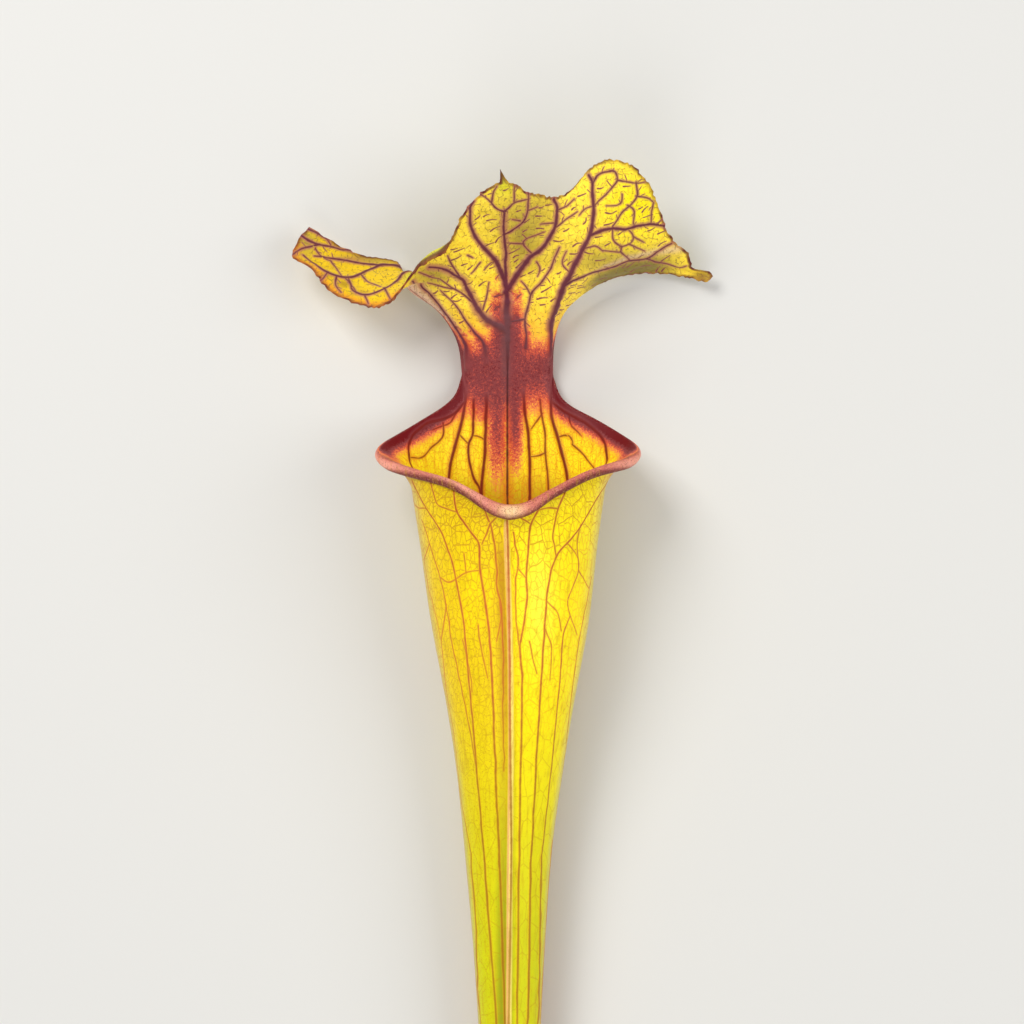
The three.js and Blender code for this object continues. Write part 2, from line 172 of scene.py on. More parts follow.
@dataclass
class LeafSheet:
    """The middle surface of the leaf: a tube, and a lid lofted over seven lines."""

    view: PhotoView
    length: float = 398.2
    axis_x: float = 2.5
    section_depth: float = 0.94
    neck_angle: float = 155.0
    flare_power: float = 2.4
    margin_pull: float = 3.0
    # Height above the cut end, half width, height of the back, shift in x
    sections: tuple = (
        (0, 4.2, 0.5, 0), (35, 4.8, 2.2, 0), (75, 5.6, 4.6, 0), (115, 6.8, 6, 0),
        (157, 8.3, 5.8, 0), (186, 10.2, 4.6, -0.2), (207, 12, 3.2, -0.3),
        (228, 14.6, 1.5, 0.1), (249, 18, 0.3, 0.2), (270, 21.8, 0, 0.1),
        (291, 24.4, 0.1, -0.2), (309, 26.9, 0.9, -0.3), (330, 28.8, 2.6, -0.3),
        (345, 30, 4.2, -0.3),
    )
    # The mouth's rim: degrees round from the front, pixel across, pixel down, height
    rim: tuple = (
        (-155, 463.5, 374, 2.4), (-150, 459.5, 390, 3.4), (-143, 450.5, 403.5, 5.2),
        (-131, 431, 417.5, 8.5), (-118, 410, 430.5, 13), (-105, 391, 441.5, 18),
        (-93, 381.5, 451, 23), (-82, 389.5, 460.5, 28), (-70, 410, 471, 33.5),
        (-56, 434, 479, 39.5), (-42, 456, 486.5, 44.5), (-28, 475, 496, 48),
        (-14, 493, 505, 50), (0, 509.5, 508.5, 50.5), (14, 527, 505.5, 50),
        (28, 545, 496.5, 48), (42, 563, 487.5, 44.5), (56, 585, 476.5, 39.5),
        (70, 609, 467, 33.5), (82, 627, 459, 28), (93, 634.5, 450.5, 23),
        (105, 627, 441.5, 18), (118, 608, 429.5, 13), (131, 585, 416.5, 8.5),
        (143, 564, 403.5, 5.2), (150, 555.5, 390, 3.4), (155, 551.5, 374, 2.4),
    )
    # How far below the rim the wall starts to flare: degrees round from the front, distance
    flares: tuple = ((0, 7), (45, 8), (70, 9), (93, 11), (125, 24), (155, 34), (180, 34))
    # Lines up the neck and lid, at a side from -1 to 1, with a point at each share of the way
    lid_shares: tuple = (0, 0.12, 0.27, 0.43, 0.57, 0.7, 0.84, 1)
    lid_sides: tuple = (-1, -0.8, -0.5, 0, 0.5, 0.8, 1)
    lid_lines: tuple = (
        ((463.5, 374, 2.4), (460.5, 350, 2.6), (451, 327, 4.2), (430, 304, 6),
         (407, 286, 5.5), (397, 263, 3.8), (360, 255.5, 4), (309, 227, 8)),
        ((470, 374, 4.6), (468, 348, 6.4), (460, 322, 9.5), (443, 298, 12.5),
         (422, 271, 13), (404, 262, 11), (359, 257, 10), (300, 243, 11)),
        ((486, 374, 5.4), (485, 345, 8), (479, 319, 12), (468, 296, 16),
         (455, 278, 19.5), (440, 267, 22), (421, 267, 24.5), (405, 286, 25)),
        ((509.5, 374, 4.4), (509, 345, 6), (508, 310, 10), (507, 278, 16),
         (506.5, 250, 22.5), (506, 225, 29), (505, 203, 34.5), (504, 182, 39.5)),
        ((531, 374, 5.4), (533, 345, 8), (541, 312, 12), (556, 280, 16.5),
         (570, 252, 20.5), (582, 224, 24.5), (598, 192, 28.5), (616, 161, 31.5)),
        ((547, 374, 4.6), (547, 347, 7), (556, 313, 10), (577, 284, 13.5),
         (600, 269, 14.5), (628, 260, 14), (661, 256, 12), (689, 258, 9)),
        ((551.5, 374, 2.4), (552.5, 348, 2.2), (560.5, 318, 2.6), (580, 296, 3.6),
         (606, 280.5, 3.8), (637, 273, 3.6), (672, 273.5, 3.6), (707, 281.5, 5)),
    )
    # The lid's free margin: side, pixel across, pixel down, height
    lid_margin: tuple = (
        (-1, 309, 227, 8), (-0.94, 293, 254, 12), (-0.88, 308, 265.5, 15.5),
        (-0.8, 327, 287, 19), (-0.72, 351, 301, 21), (-0.64, 377, 306.5, 23),
        (-0.57, 394, 298, 24), (-0.5, 405, 284, 25), (-0.42, 420, 266, 26.5),
        (-0.33, 445, 250, 29), (-0.25, 457, 227, 31), (-0.17, 469, 206, 34),
        (-0.08, 486, 190.5, 37), (0, 504, 182, 39.5), (0.08, 520, 189, 36),
        (0.16, 538, 196, 32), (0.24, 556, 198, 27.5), (0.32, 573, 189, 27),
        (0.4, 589, 171, 29), (0.5, 614, 161, 31.5), (0.58, 634, 169, 30),
        (0.66, 650.5, 190, 26), (0.74, 661.5, 218, 20), (0.82, 673, 242, 14),
        (0.9, 688.5, 258.5, 9), (0.94, 695, 270, 6.5), (0.97, 710, 272.5, 5),
        (1, 707, 281.5, 5),
    )

    def section(self, height: Array) -> Array:
        """Returns the tube's half width, height of its back and shift, at heights up it."""
        table = np.array(self.sections, float)
        flat = natural_spline(table[:, 0], table[:, 1:], np.ravel(height))
        return flat.reshape(*np.shape(height), 3)

    def plain_wall(self, angle: Array, height: Array) -> Array:
        """Works out the tube's wall below its flare.

        A section is an ellipse: x is the axis plus the half width times the sine of the angle,
        and z is the back plus the half depth times one plus its cosine.

        Args:
            angle: Degrees round from the front.
            height: Millimetres above the cut end.

        Returns:
            The places, in millimetres.
        """
        angle, height = np.broadcast_arrays(angle, height)
        half_width, back, shift = np.moveaxis(self.section(height), -1, 0)
        depth = half_width * self.section_depth
        turn = np.radians(angle)
        x = self.axis_x + shift + half_width * np.sin(turn)
        return np.stack([x, height - self.length / 2, back + depth * (1 + np.cos(turn))], -1)

    def lid(self, side: Array, share: Array) -> Array:
        """Works out the neck and lid.

        The seven lines are lofted across by a natural spline. The end of each line across is
        then drawn to the free margin, by the cube of the share of the way up.

        Args:
            side: From the left margin at -1 to the right margin at 1.
            share: From the foot of the neck at 0 to the free margin at 1.

        Returns:
            The places, in millimetres.
        """
        side, share = np.broadcast_arrays(np.asarray(side, float), np.asarray(share, float))
        flat_side, flat_share = side.ravel(), share.ravel()
        ends = self.view.place(np.array(self.lid_lines)).transpose(1, 0, 2)
        count = len(self.lid_sides)
        lines = natural_spline(self.lid_shares, ends.reshape(len(ends), -1), flat_share)
        weights = natural_spline(self.lid_sides, np.eye(count), flat_side)
        lofted = np.einsum("nk,nkc->nc", weights, lines.reshape(-1, count, 3))
        margin = np.array(self.lid_margin, float)
        end = natural_spline(margin[:, 0], self.view.place(margin[:, 1:]), flat_side)
        pull = (flat_share**self.margin_pull)[:, None]
        return (lofted + pull * (end - weights @ ends[-1])).reshape(*side.shape, 3)

    def tube(self, angle: Array, share: Array) -> Array:
        """Works out the tube with its flare.

        The plain wall leaves its ellipse on a steepening curve over the last stretch, by the
        share of that stretch to the flare's power, to meet the rim or the foot of the neck.

        Args:
            angle: Degrees round from the front, from -180 to 180.
            share: From the cut end at 0 to the top at 1.

        Returns:
            The places, in millimetres.
        """
        angle, share = np.broadcast_arrays(np.asarray(angle, float), np.asarray(share, float))
        flat, up = angle.ravel(), share.ravel()
        turned = np.abs(flat)
        rim = np.array(self.rim, float)
        on_rim = natural_spline(rim[:, 0], self.view.place(rim[:, 1:]), flat)
        side = np.sign(flat) * (180 - turned) / (180 - self.neck_angle)
        foot = self.lid(np.clip(side, -1, 1), np.zeros_like(side))
        top = np.where((turned <= self.neck_angle)[:, None], on_rim, foot)
        top_height = top[:, 1] + self.length / 2
        depth = np.interp(turned, *np.array(self.flares, float).T)
        height = up * top_height
        flare = np.clip((height - top_height + depth) / depth, 0, 1) ** self.flare_power
        wall = self.plain_wall(flat, height)
        place = wall + flare[:, None] * (top - self.plain_wall(flat, top_height))
        return place.reshape(*angle.shape, 3)


# The skin over the sheet


class Face(Enum):
    """The two faces of the leaf, as steps along the normal that points out of the pitcher."""

    INNER = -1
    OUTER = 1


@dataclass
class Samples:
    """Points of the sheet, with the normal out of the leaf and where each point lies on it."""

    places: Array
    normals: Array
    angle: Array
    height: Array
    side: Array
    share: Array
    is_lid: Array
    wall: Array
    pixels: Array
    edge_distance: Array = field(default_factory=lambda: np.zeros(0))


@dataclass
class SkinGrid:
    """How finely the sheet is divided, and how thick the leaf is at each place."""

    sheet: LeafSheet
    wall: float = 1.0
    lid_wall: float = 0.8
    margin_thinning: float = 0.42
    thinning_reach: float = 2.6
    low_rows: int = 46
    high_rows: int = 112
    high_share: float = 0.66
    angle_step: float = 2.15
    keel_angles: tuple = (0.6, 1.2, 1.8, 2.5, 3.4, 4.6, 6.2)
    neck_columns: int = 60
    lid_rows: tuple = (36, 36, 44)
    lid_breaks: tuple = (0, 0.3, 0.6, 1)
    # The share of the way up the lid at which it has its own thickness
    lid_wall_share: float = 0.12
    # Half the steps that normals are measured by: along the tube's rows and up it in degrees
    # and shares, and along the lid's rows and up it in sides and shares
    tube_steps: tuple = (0.5, 0.003)
    lid_steps: tuple = (0.007, 0.006)

    def angles(self) -> tuple[Array, Array]:
        """Returns the columns' degrees round from the front: along the rim, and behind it."""
        neck = self.sheet.neck_angle
        start = self.keel_angles[-1]
        plain = np.linspace(start, neck, round((neck - start) / self.angle_step) + 1)
        right = np.concatenate([self.keel_angles[:-1], plain])
        rim = np.concatenate([-right[::-1], [0], right])
        back = np.linspace(neck, 360 - neck, round((360 - 2 * neck) / self.angle_step) + 1)
        return rim, back[1:-1]

    def tube_shares(self) -> Array:
        """Returns the shares of the way up at which the tube has rows, closer near the top."""
        low = np.linspace(0, self.high_share, self.low_rows + 1)
        high = np.linspace(self.high_share, 1, self.high_rows + 1)
        return np.concatenate([low, high[1:]])

    def lid_row_plan(self) -> list[tuple[float, Array]]:
        """Returns each row of the lid: its share of the way up, and its sides from 1 to -1."""
        plan = []
        columns = self.neck_columns
        for low, high, rows in zip(self.lid_breaks, self.lid_breaks[1:], self.lid_rows):
            shares = np.linspace(low, high, rows + 1)[0 if low == 0 else 1 :]
            plan += [(share, np.linspace(1, -1, columns + 1)) for share in shares]
            columns *= 2
        return plan


def grid_faces(ids: Array, flip: bool = False) -> Array:
    """Splits a grid of points into triangles, each cell along the same diagonal.

    Args:
        ids: The points' numbers, of shape (rows, columns).
        flip: Whether the faces look the other way.

    Returns:
        Triangles, of shape (n, 3).
    """
    a, b, c, d = ids[:-1, :-1], ids[:-1, 1:], ids[1:, 1:], ids[1:, :-1]
    faces = np.concatenate([np.stack([a, b, c], -1), np.stack([a, c, d], -1)]).reshape(-1, 3)
    return faces[:, ::-1] if flip else faces


def stitch_faces(lower: Array, upper: Array, flip: bool = False) -> Array:
    """Joins two rows of different lengths, walked side by side by their share of the way.

    The middles of all steps along both rows are sorted together. At each of them the walk
    takes that step, and the triangle spans it and the point reached on the other row.

    Args:
        lower: The lower row's points.
        upper: The upper row's points.
        flip: Whether the faces look the other way.

    Returns:
        Triangles, of shape (n, 3).
    """
    low_steps, high_steps = len(lower) - 1, len(upper) - 1
    middles = np.concatenate([
        (np.arange(low_steps) + 0.5) / low_steps,
        (np.arange(high_steps) + 0.5) / high_steps,
    ])
    is_low = (np.arange(low_steps + high_steps) < low_steps)[np.argsort(middles, kind="stable")]
    i = np.cumsum(is_low) - is_low
    j = np.cumsum(~is_low) - ~is_low
    next_low, next_high = np.minimum(i + 1, low_steps), np.minimum(j + 1, high_steps)
    third = np.where(is_low, lower[next_low], upper[next_high])
    faces = np.stack([lower[i], third, upper[j]], -1)
    return faces[:, ::-1] if flip else faces


def fan_faces(row: Array, centre: int, flip: bool = False) -> Array:
    """Draws a row of points together to one point.

    Args:
        row: The row's points.
        centre: The point that they meet at.
        flip: Whether the faces look the other way.

    Returns:
        Triangles, of shape (n, 3).
    """
    faces = np.stack([row[:-1], row[1:], np.full(len(row) - 1, centre)], -1)
    return faces[:, ::-1] if flip else faces


@dataclass
class LeafSkin:
    """The leaf's closed skin: both faces of the sheet, and the edges that join them."""

    sheet: LeafSheet
    grid: SkinGrid
    edge_steps: int = 12
    # How far below the free edge it is still searched for, the distance written below that,
    # and in how many batches the search goes
    edge_band: float = 40.0
    far: float = 99.0
    batches: int = 12
    keel_height: float = 1.5
    keel_core: float = 0.25
    keel_foot: float = 1.15
    keel_end: float = 4.0
    cavity_bottom: float = 55.0
    cavity_taper: float = 60.0
    low_stride: int = 3
    # How far the cavity's lowest row lies above its bottom, and the outer face's above the cut
    cavity_rise: float = 5.0
    cut_bevel: float = 0.15
    # The spine: how far it is drawn out, its width and the power that it narrows by
    spine: tuple = (-1.1, 3.2, 1.0)
    spine_width: float = 0.62
    spine_power: float = 0.8
    # Where the wing's middle runs: height above the cut end, distance across
    keel_course: tuple = ((157, -0.2), (205, 0.4), (258, 0.1), (281, -0.25), (298, -0.6))
    # Fraying: the teeth's length, spacing and reach, the power and level of their random
    # lengths, and the shares of the way up the lid over which it starts
    fray: float = 0.8
    fray_pitch: float = 1.15
    fray_reach: float = 0.7
    fray_power: float = 1.6
    fray_level: float = 0.25
    fray_shares: tuple = (0.3, 0.55)
    # Quilting: its height, its reach from a vein and from the edge, its level and its shares
    quilt: float = 0.42
    quilt_reach: float = 2.4
    calm_reach: float = 3.0
    quilt_level: float = 0.4
    quilt_shares: tuple = (0.05, 0.35)
    # How far a vein stands out for its half width, how far past its edge, and where the lid
    # starts to thin to its margin
    swell: float = 0.5
    swell_reach: float = 0.25
    thin_shares: tuple = (0.1, 0.4)
    seed: int = 11
    # The lip's roll: degrees round from the front, radius
    lip_radii: tuple = (
        (0, 2.15), (14, 1.85), (32, 1.35), (60, 1.3), (80, 1.55), (93, 1.5), (108, 1),
        (140, 0.7), (155, 0.5),
    )
    # Rings of the cut end: share of the outline, height above the lowest point of the leaf
    cut_rings: tuple = ((0.97, 0), (0.9, 0.05), (0.78, 0.22), (0.6, 0.12), (0.4, 0.2), (0.2, 0.1))

    def __post_init__(self) -> None:
        """Samples the sheet, finds its free edge and measures each sample's way to it."""
        rim_angles, back_angles = self.grid.angles()
        self.rim_angles = rim_angles
        self.angles = np.concatenate([rim_angles, back_angles])
        self.shares = self.grid.tube_shares()
        self.plan = self.grid.lid_row_plan()
        self.samples = self.sample_sheet()
        self.edge = self.edge_loop()
        self.measure_edge()

    # Samples of the sheet

    def sample_sheet(self) -> Samples:
        """Lays samples over the tube's rows, its rim and the lid's rows, in that order.

        The normal is the cross product of two short steps over the sheet, one along and one
        up, turned to point out of the pitcher.

        Returns:
            The samples.
        """
        wrapped = wrap(self.angles)
        wrapped[self.angles == 180] = 180
        rows = self.shares[:-1]
        angle = np.concatenate([np.tile(wrapped, len(rows)), self.rim_angles[1:-1]])
        share = np.concatenate([np.repeat(rows, len(wrapped)), np.ones(len(self.rim_angles) - 2)])
        surface = self.sheet.tube
        step, rise_step = self.grid.tube_steps
        along = surface(wrap(angle + step), share) - surface(wrap(angle - step), share)
        higher = surface(angle, np.minimum(share + rise_step, 1))
        up = higher - surface(angle, np.maximum(share - rise_step, 0))
        tube = surface(angle, share)
        tube_normals = unit(np.cross(along, up))

        side = np.concatenate([sides for _, sides in self.plan])
        rise = np.concatenate([np.full(len(sides), row) for row, sides in self.plan])
        surface = self.sheet.lid
        step, rise_step = self.grid.lid_steps
        kept = np.clip(side, step - 1, 1 - step)
        along = surface(kept + step, rise) - surface(kept - step, rise)
        higher = surface(kept, np.minimum(rise + rise_step, 1))
        up = higher - surface(kept, np.maximum(rise - rise_step, 0))
        lid = surface(side, rise)
        lid_normals = -unit(np.cross(along, up))

        places = np.concatenate([tube, lid])
        is_lid = np.arange(len(places)) >= len(tube)
        neck_turn = 180 - self.sheet.neck_angle
        lid_angle = np.where(side == 0, 180, np.sign(side) * (180 - np.abs(side) * neck_turn))
        walls = [self.grid.wall, self.grid.lid_wall]
        lid_wall = np.interp(rise, [0, self.grid.lid_wall_share], walls)
        return Samples(
            places=places,
            normals=np.concatenate([tube_normals, lid_normals]),
            angle=np.concatenate([angle, lid_angle]),
            height=places[:, 1] + self.sheet.length / 2,
            side=np.concatenate([np.zeros(len(tube)), side]),
            share=np.concatenate([share, rise]),
            is_lid=is_lid,
            wall=np.concatenate([np.full(len(tube), self.grid.wall), lid_wall]),
            pixels=self.sheet.view.pixels(places),
        )

    def tube_ids(self) -> Array:
        """Returns the numbers of the tube's samples below the rim, of shape (rows, columns)."""
        rows = len(self.shares) - 1
        return np.arange(rows * len(self.angles)).reshape(rows, -1)

    def lid_ids(self) -> list[Array]:
        """Returns the numbers of the lid's samples, one array a row."""
        counts = [len(sides) for _, sides in self.plan]
        start = len(self.samples.places) - sum(counts)
        return np.split(start + np.arange(sum(counts)), np.cumsum(counts)[:-1])

    def rim_ids(self) -> Array:
        """Returns the numbers of the rim's samples, from the neck's left edge to its right."""
        foot = self.lid_ids()[0]
        start = self.tube_ids().size
        between = start + np.arange(len(self.rim_angles) - 2)
        return np.concatenate([[foot[-1]], between, [foot[0]]])

    def edge_loop(self) -> Array:
        """Walks the free edge: round the mouth's rim, then round the lid and back."""
        lid = self.lid_ids()
        right = [row[0] for row in lid[1:]]
        left = [row[-1] for row in lid[-2:0:-1]]
        return np.concatenate([self.rim_ids(), right, lid[-1][1:], left])

    def measure_edge(self) -> None:
        """Measures each sample's straight way to the nearest point of the free edge."""
        places = self.samples.places
        edge = places[self.edge]
        near = np.flatnonzero(places[:, 1] > edge[:, 1].min() - self.edge_band)
        self.edge_nearest = np.zeros(len(places), int)
        self.samples.edge_distance = np.full(len(places), self.far)
        for part in np.array_split(near, self.batches):
            apart = np.linalg.norm(places[part][:, None] - edge[None], axis=2)
            self.edge_nearest[part] = apart.argmin(axis=1)
            self.samples.edge_distance[part] = apart.min(axis=1)

    def edge_outward(self) -> Array:
        """Works out the direction that leaves the sheet at each point of its free edge.

        It is the cross product of the normal and of the step between the edge's next points.

        Returns:
            Directions of length 1, one for each point of the loop.
        """
        places = self.samples.places[self.edge]
        along = np.roll(places, -1, axis=0) - np.roll(places, 1, axis=0)
        return unit(np.cross(self.samples.normals[self.edge], along))

    # What the solid part leaves out

    def refine(self, veins: "VeinField") -> None:
        """Moves the samples for the quilting between the veins, the fray and the spine.

        Between veins the lid rises towards its inner face. Its margin is drawn outwards by
        random teeth, and the middle of the apex into a hooked spine.

        Args:
            veins: The veins over the same samples.
        """
        samples = self.samples
        puff = smoothstep(0, self.quilt_reach, veins.distance)
        calm = smoothstep(0, self.calm_reach, samples.edge_distance)
        on_lid = samples.is_lid * smoothstep(*self.quilt_shares, samples.share)
        rise = self.quilt * (puff - self.quilt_level) * calm * on_lid
        moved = samples.places - samples.normals * rise[:, None]

        edge = samples.places[self.edge]
        steps = np.linalg.norm(np.roll(edge, -1, axis=0) - edge, axis=1)
        run = np.concatenate([[0], np.cumsum(steps)[:-1]])
        draw = np.random.default_rng(self.seed)
        knots = np.arange(0, run[-1] + self.fray_pitch, self.fray_pitch / 2)
        teeth = np.interp(run, knots, draw.random(len(knots)) ** self.fray_power)
        free = smoothstep(*self.fray_shares, samples.share[self.edge])
        free = samples.is_lid[self.edge] * free
        length = (self.fray * (teeth - self.fray_level) * free)[self.edge_nearest]
        pull = length * np.exp(-((samples.edge_distance / self.fray_reach) ** 2)) * samples.is_lid
        moved += self.edge_outward()[self.edge_nearest] * pull[:, None]

        tip = self.lid_ids()[-1]
        apex = samples.places[tip[len(tip) // 2]]
        away = np.linalg.norm(samples.places - apex, axis=1)
        point = np.clip(1 - away / self.spine_width, 0, 1) ** self.spine_power
        moved += (point * samples.is_lid)[:, None] * np.array(self.spine)
        samples.places = moved

        core = np.exp(-((veins.distance / (veins.half_width + self.swell_reach)) ** 2))
        self.bulge = self.swell * veins.half_width * core * calm
        near_edge = np.exp(-((samples.edge_distance / self.grid.thinning_reach) ** 2))
        thin = self.grid.margin_thinning * near_edge * samples.is_lid
        samples.wall = samples.wall * (1 - thin * smoothstep(*self.thin_shares, samples.share))

    def keel(self) -> Array:
        """Lifts the tube's outer face into the low wing down its front.

        The wing is flat topped out to its core, and eases down to its foot by the distance
        across it. It fades out below the lip.

        Returns:
            How far each sample of the tube is lifted, in millimetres.
        """
        samples = self.samples
        across = np.abs(self.keel_across())
        end = self.sheet.tube(0.0, 1.0)[1] + self.sheet.length / 2
        fade = smoothstep(end, end - self.keel_end, samples.height)
        profile = smoothstep(self.keel_foot, self.keel_core, across)
        return self.keel_height * profile * fade * ~samples.is_lid

    def keel_across(self) -> Array:
        """Returns each sample's signed distance across the front from the wing's middle."""
        samples = self.samples
        half_width = self.sheet.section(samples.height)[:, 0]
        turn = np.radians(np.clip(samples.angle, -60, 60))
        middle = np.interp(samples.height, *np.array(self.keel_course, float).T)
        return half_width * np.sin(turn) - middle

    # The skin itself

    def edge_arcs(self, walk: Array) -> Array:
        """Rounds the free edge off, with an arc at each of its points.

        The arc runs from one face to the other, and its circle touches the inner face.

        Args:
            walk: Shares of the way along an arc, from the inner face to the outer.

        Returns:
            The places, of shape (the edge's points, the shares, 3).
        """
        samples, edge = self.samples, self.edge
        wall, normal = samples.wall[edge], samples.normals[edge]
        radius = np.interp(np.abs(samples.angle[edge]), *np.array(self.lip_radii, float).T)
        on_lid = samples.is_lid[edge] & (samples.share[edge] > 0)
        radius = np.where(on_lid, wall / 2, radius)
        last = -np.arccos(np.clip((wall - radius) / radius, -1, 1))
        turn = (np.pi + (last - np.pi)[:, None] * walk)[..., None]
        centre = samples.places[edge] + (radius - wall / 2)[:, None] * normal
        spoke = np.cos(turn) * normal[:, None] + np.sin(turn) * self.edge_outward()[:, None]
        return centre[:, None] + radius[:, None, None] * spoke

    def hollow_rows(self) -> Array:
        """Tells which of the tube's rows the inner face has: those over the cavity's bottom.

        Of the rows below the close ones it has only every third.

        Returns:
            A truth value for each row.
        """
        ids = self.tube_ids()
        row = np.arange(len(ids))
        kept = (row >= self.grid.low_rows) | (row % self.low_stride == 0)
        return kept & (self.samples.height[ids[:, 0]] > self.cavity_bottom + self.cavity_rise)

    def build(self) -> None:
        """Lays the skin's points and faces over the samples.

        Each sample has a point on each face, half the wall away along the normal. At the free
        edge the two are the ends of an arc.
        """
        samples = self.samples
        count = len(samples.places)
        half = samples.wall[:, None] / 2 * samples.normals
        swell = self.bulge[:, None] * samples.normals

        edge = self.edge
        walk = np.linspace(0, 1, self.edge_steps + 1)
        arcs = self.edge_arcs(walk)
        self.inner = np.full(count, -1)
        self.outer = np.full(count, -1)
        arc_ids = np.arange(arcs.shape[0] * arcs.shape[1]).reshape(arcs.shape[:2])
        self.inner[edge] = arc_ids[:, 0]
        self.outer[edge] = arc_ids[:, -1]
        is_edge = np.zeros(count, bool)
        is_edge[edge] = True

        tube_ids, kept_rows = self.tube_ids(), self.hollow_rows()
        has_inner = np.ones(count, bool)
        has_inner[tube_ids[~kept_rows].ravel()] = False

        outer_ids = np.flatnonzero(~is_edge)
        inner_ids = np.flatnonzero(~is_edge & has_inner)
        self.outer[outer_ids] = arc_ids.size + np.arange(len(outer_ids))
        self.inner[inner_ids] = arc_ids.size + len(outer_ids) + np.arange(len(inner_ids))

        lift = self.keel()[:, None] * samples.normals
        outer_points = (samples.places + half + swell + lift)[outer_ids]
        outer_points[: len(self.angles), 1] = self.cut_bevel - self.sheet.length / 2
        inner_points = self.close_cavity(samples.places - half - swell)[inner_ids]

        first_ring = arc_ids.size + len(outer_ids) + len(inner_ids)
        ring_points, ring_faces, ring_of = self.cut_end(first_ring)
        bottom = self.sheet.plain_wall(0.0, self.cavity_bottom)
        section = self.sheet.section(np.array(self.cavity_bottom))
        bottom[2] = section[1] + section[0] * self.sheet.section_depth
        bottom_id = first_ring + len(ring_points)

        self.points = np.concatenate([
            arcs.reshape(-1, 3), outer_points, inner_points, ring_points, bottom[None],
        ])
        self.points[:, 2] = np.maximum(self.points[:, 2], 0)
        self.sample_of = np.concatenate([
            np.repeat(edge, self.edge_steps + 1), outer_ids, inner_ids, ring_of, [0],
        ])
        flat = [len(outer_ids), len(inner_ids), len(ring_points), 1]
        self.face = np.concatenate([
            np.tile(2 * walk - 1, len(edge)), np.repeat([1.0, -1.0, 1.0, -1.0], flat),
        ])
        self.arc_walk = np.concatenate([np.tile(walk, len(edge)), np.full(sum(flat), -1.0)])
        self.cut_share = np.full(len(self.points), -1.0)
        shares = [share for share, _ in self.cut_rings] + [0]
        counts = [len(self.angles)] * len(self.cut_rings) + [1]
        self.cut_share[first_ring:bottom_id] = np.repeat(shares, counts)

        self.faces = np.concatenate([
            grid_faces(np.concatenate([arc_ids, arc_ids[:1]])),
            self.tube_faces(tube_ids, self.outer, False),
            self.tube_faces(tube_ids[kept_rows], self.inner, True),
            self.lid_faces(self.outer, False),
            self.lid_faces(self.inner, True),
            fan_faces(self.inner[close_row(tube_ids[kept_rows][0])], bottom_id),
            ring_faces,
        ])

    def close_cavity(self, points: Array) -> Array:
        """Narrows the inner face to a point inside the stalk.

        Args:
            points: The inner face's points, one a sample.

        Returns:
            The points, drawn to the axis by the square of the share of the taper.
        """
        samples = self.samples
        closing = np.clip(1 - (samples.height - self.cavity_bottom) / self.cavity_taper, 0, 1) ** 2
        half_width, back, shift = self.sheet.section(samples.height).T
        axis = np.stack([
            self.sheet.axis_x + shift,
            samples.places[:, 1],
            back + half_width * self.sheet.section_depth,
        ], -1)
        closing = (closing * ~samples.is_lid)[:, None]
        return points + closing * (axis - points)

    def cut_end(self, first: int) -> tuple[Array, Array, Array]:
        """Closes the stalk with rings that shrink to a point.

        Args:
            first: The number of the rings' first point.

        Returns:
            The rings' points, their faces and the sample that each point takes its look from.
        """
        outline = self.samples.places[: len(self.angles)]
        outline = outline + self.samples.normals[: len(self.angles)] * self.grid.wall / 2
        centre = outline.mean(axis=0)
        base = -self.sheet.length / 2
        rings = []
        for share, hollow in (*self.cut_rings, (0, 0)):
            ring = centre + share * (outline - centre)
            ring[:, 1] = base + hollow
            rings.append(ring if share else ring[:1])
        count = len(self.angles)
        numbers = first + np.arange(count * len(self.cut_rings)).reshape(-1, count)
        rows = np.concatenate([self.outer[:count][None], numbers])
        rows = np.concatenate([rows, rows[:, :1]], axis=1)
        tip = numbers[-1, -1] + 1
        faces = np.concatenate([grid_faces(rows, True), fan_faces(rows[-1], tip, True)])
        ring_of = np.concatenate([np.tile(np.arange(count), len(self.cut_rings)), [0]])
        return np.concatenate(rings), faces, ring_of

    def tube_faces(self, ids: Array, numbers: Array, flip: bool) -> Array:
        """Covers one face of the tube, up to the rim and to the foot of the neck.

        Args:
            ids: The samples of its rows below the rim.
            numbers: The skin's point at each sample.
            flip: Whether the faces look inwards.

        Returns:
            Triangles, of shape (n, 3).
        """
        rows = numbers[np.concatenate([ids, ids[:, :1]], axis=1)]
        front = len(self.rim_angles)
        rim = np.stack([rows[-1][:front], numbers[self.rim_ids()]])
        foot = numbers[self.lid_ids()[0]]
        return np.concatenate([
            grid_faces(rows, flip),
            grid_faces(rim, flip),
            stitch_faces(rows[-1][front - 1 :], foot, flip),
        ])

    def lid_faces(self, numbers: Array, flip: bool) -> Array:
        """Covers one face of the lid, joining rows of unlike length where the count doubles.

        Args:
            numbers: The skin's point at each sample.
            flip: Whether the faces look inwards.

        Returns:
            Triangles, of shape (n, 3).
        """
        rows = [numbers[row] for row in self.lid_ids()]
        faces = []
        for lower, upper in zip(rows, rows[1:]):
            if len(lower) == len(upper):
                faces.append(grid_faces(np.stack([lower, upper]), flip))
            else:
                faces.append(stitch_faces(lower, upper, flip))
        return np.concatenate(faces)


def close_row(row: Array) -> Array:
    """Returns a row with its first point again at its end."""
    return np.append(row, row[0])


# The veins


@dataclass(frozen=True)
class Vein:
    """A vein as the photograph shows it: its course, widths and halo, all in pixels.

    The course holds pixel across and pixel down of each of its corners in turn.
    """

    course: tuple
    start: float = 1.5
    end: float = 1.1
    halo: float = 1.5
    face: Face = Face.INNER
    to_stalk: bool = False
    straight: bool = False


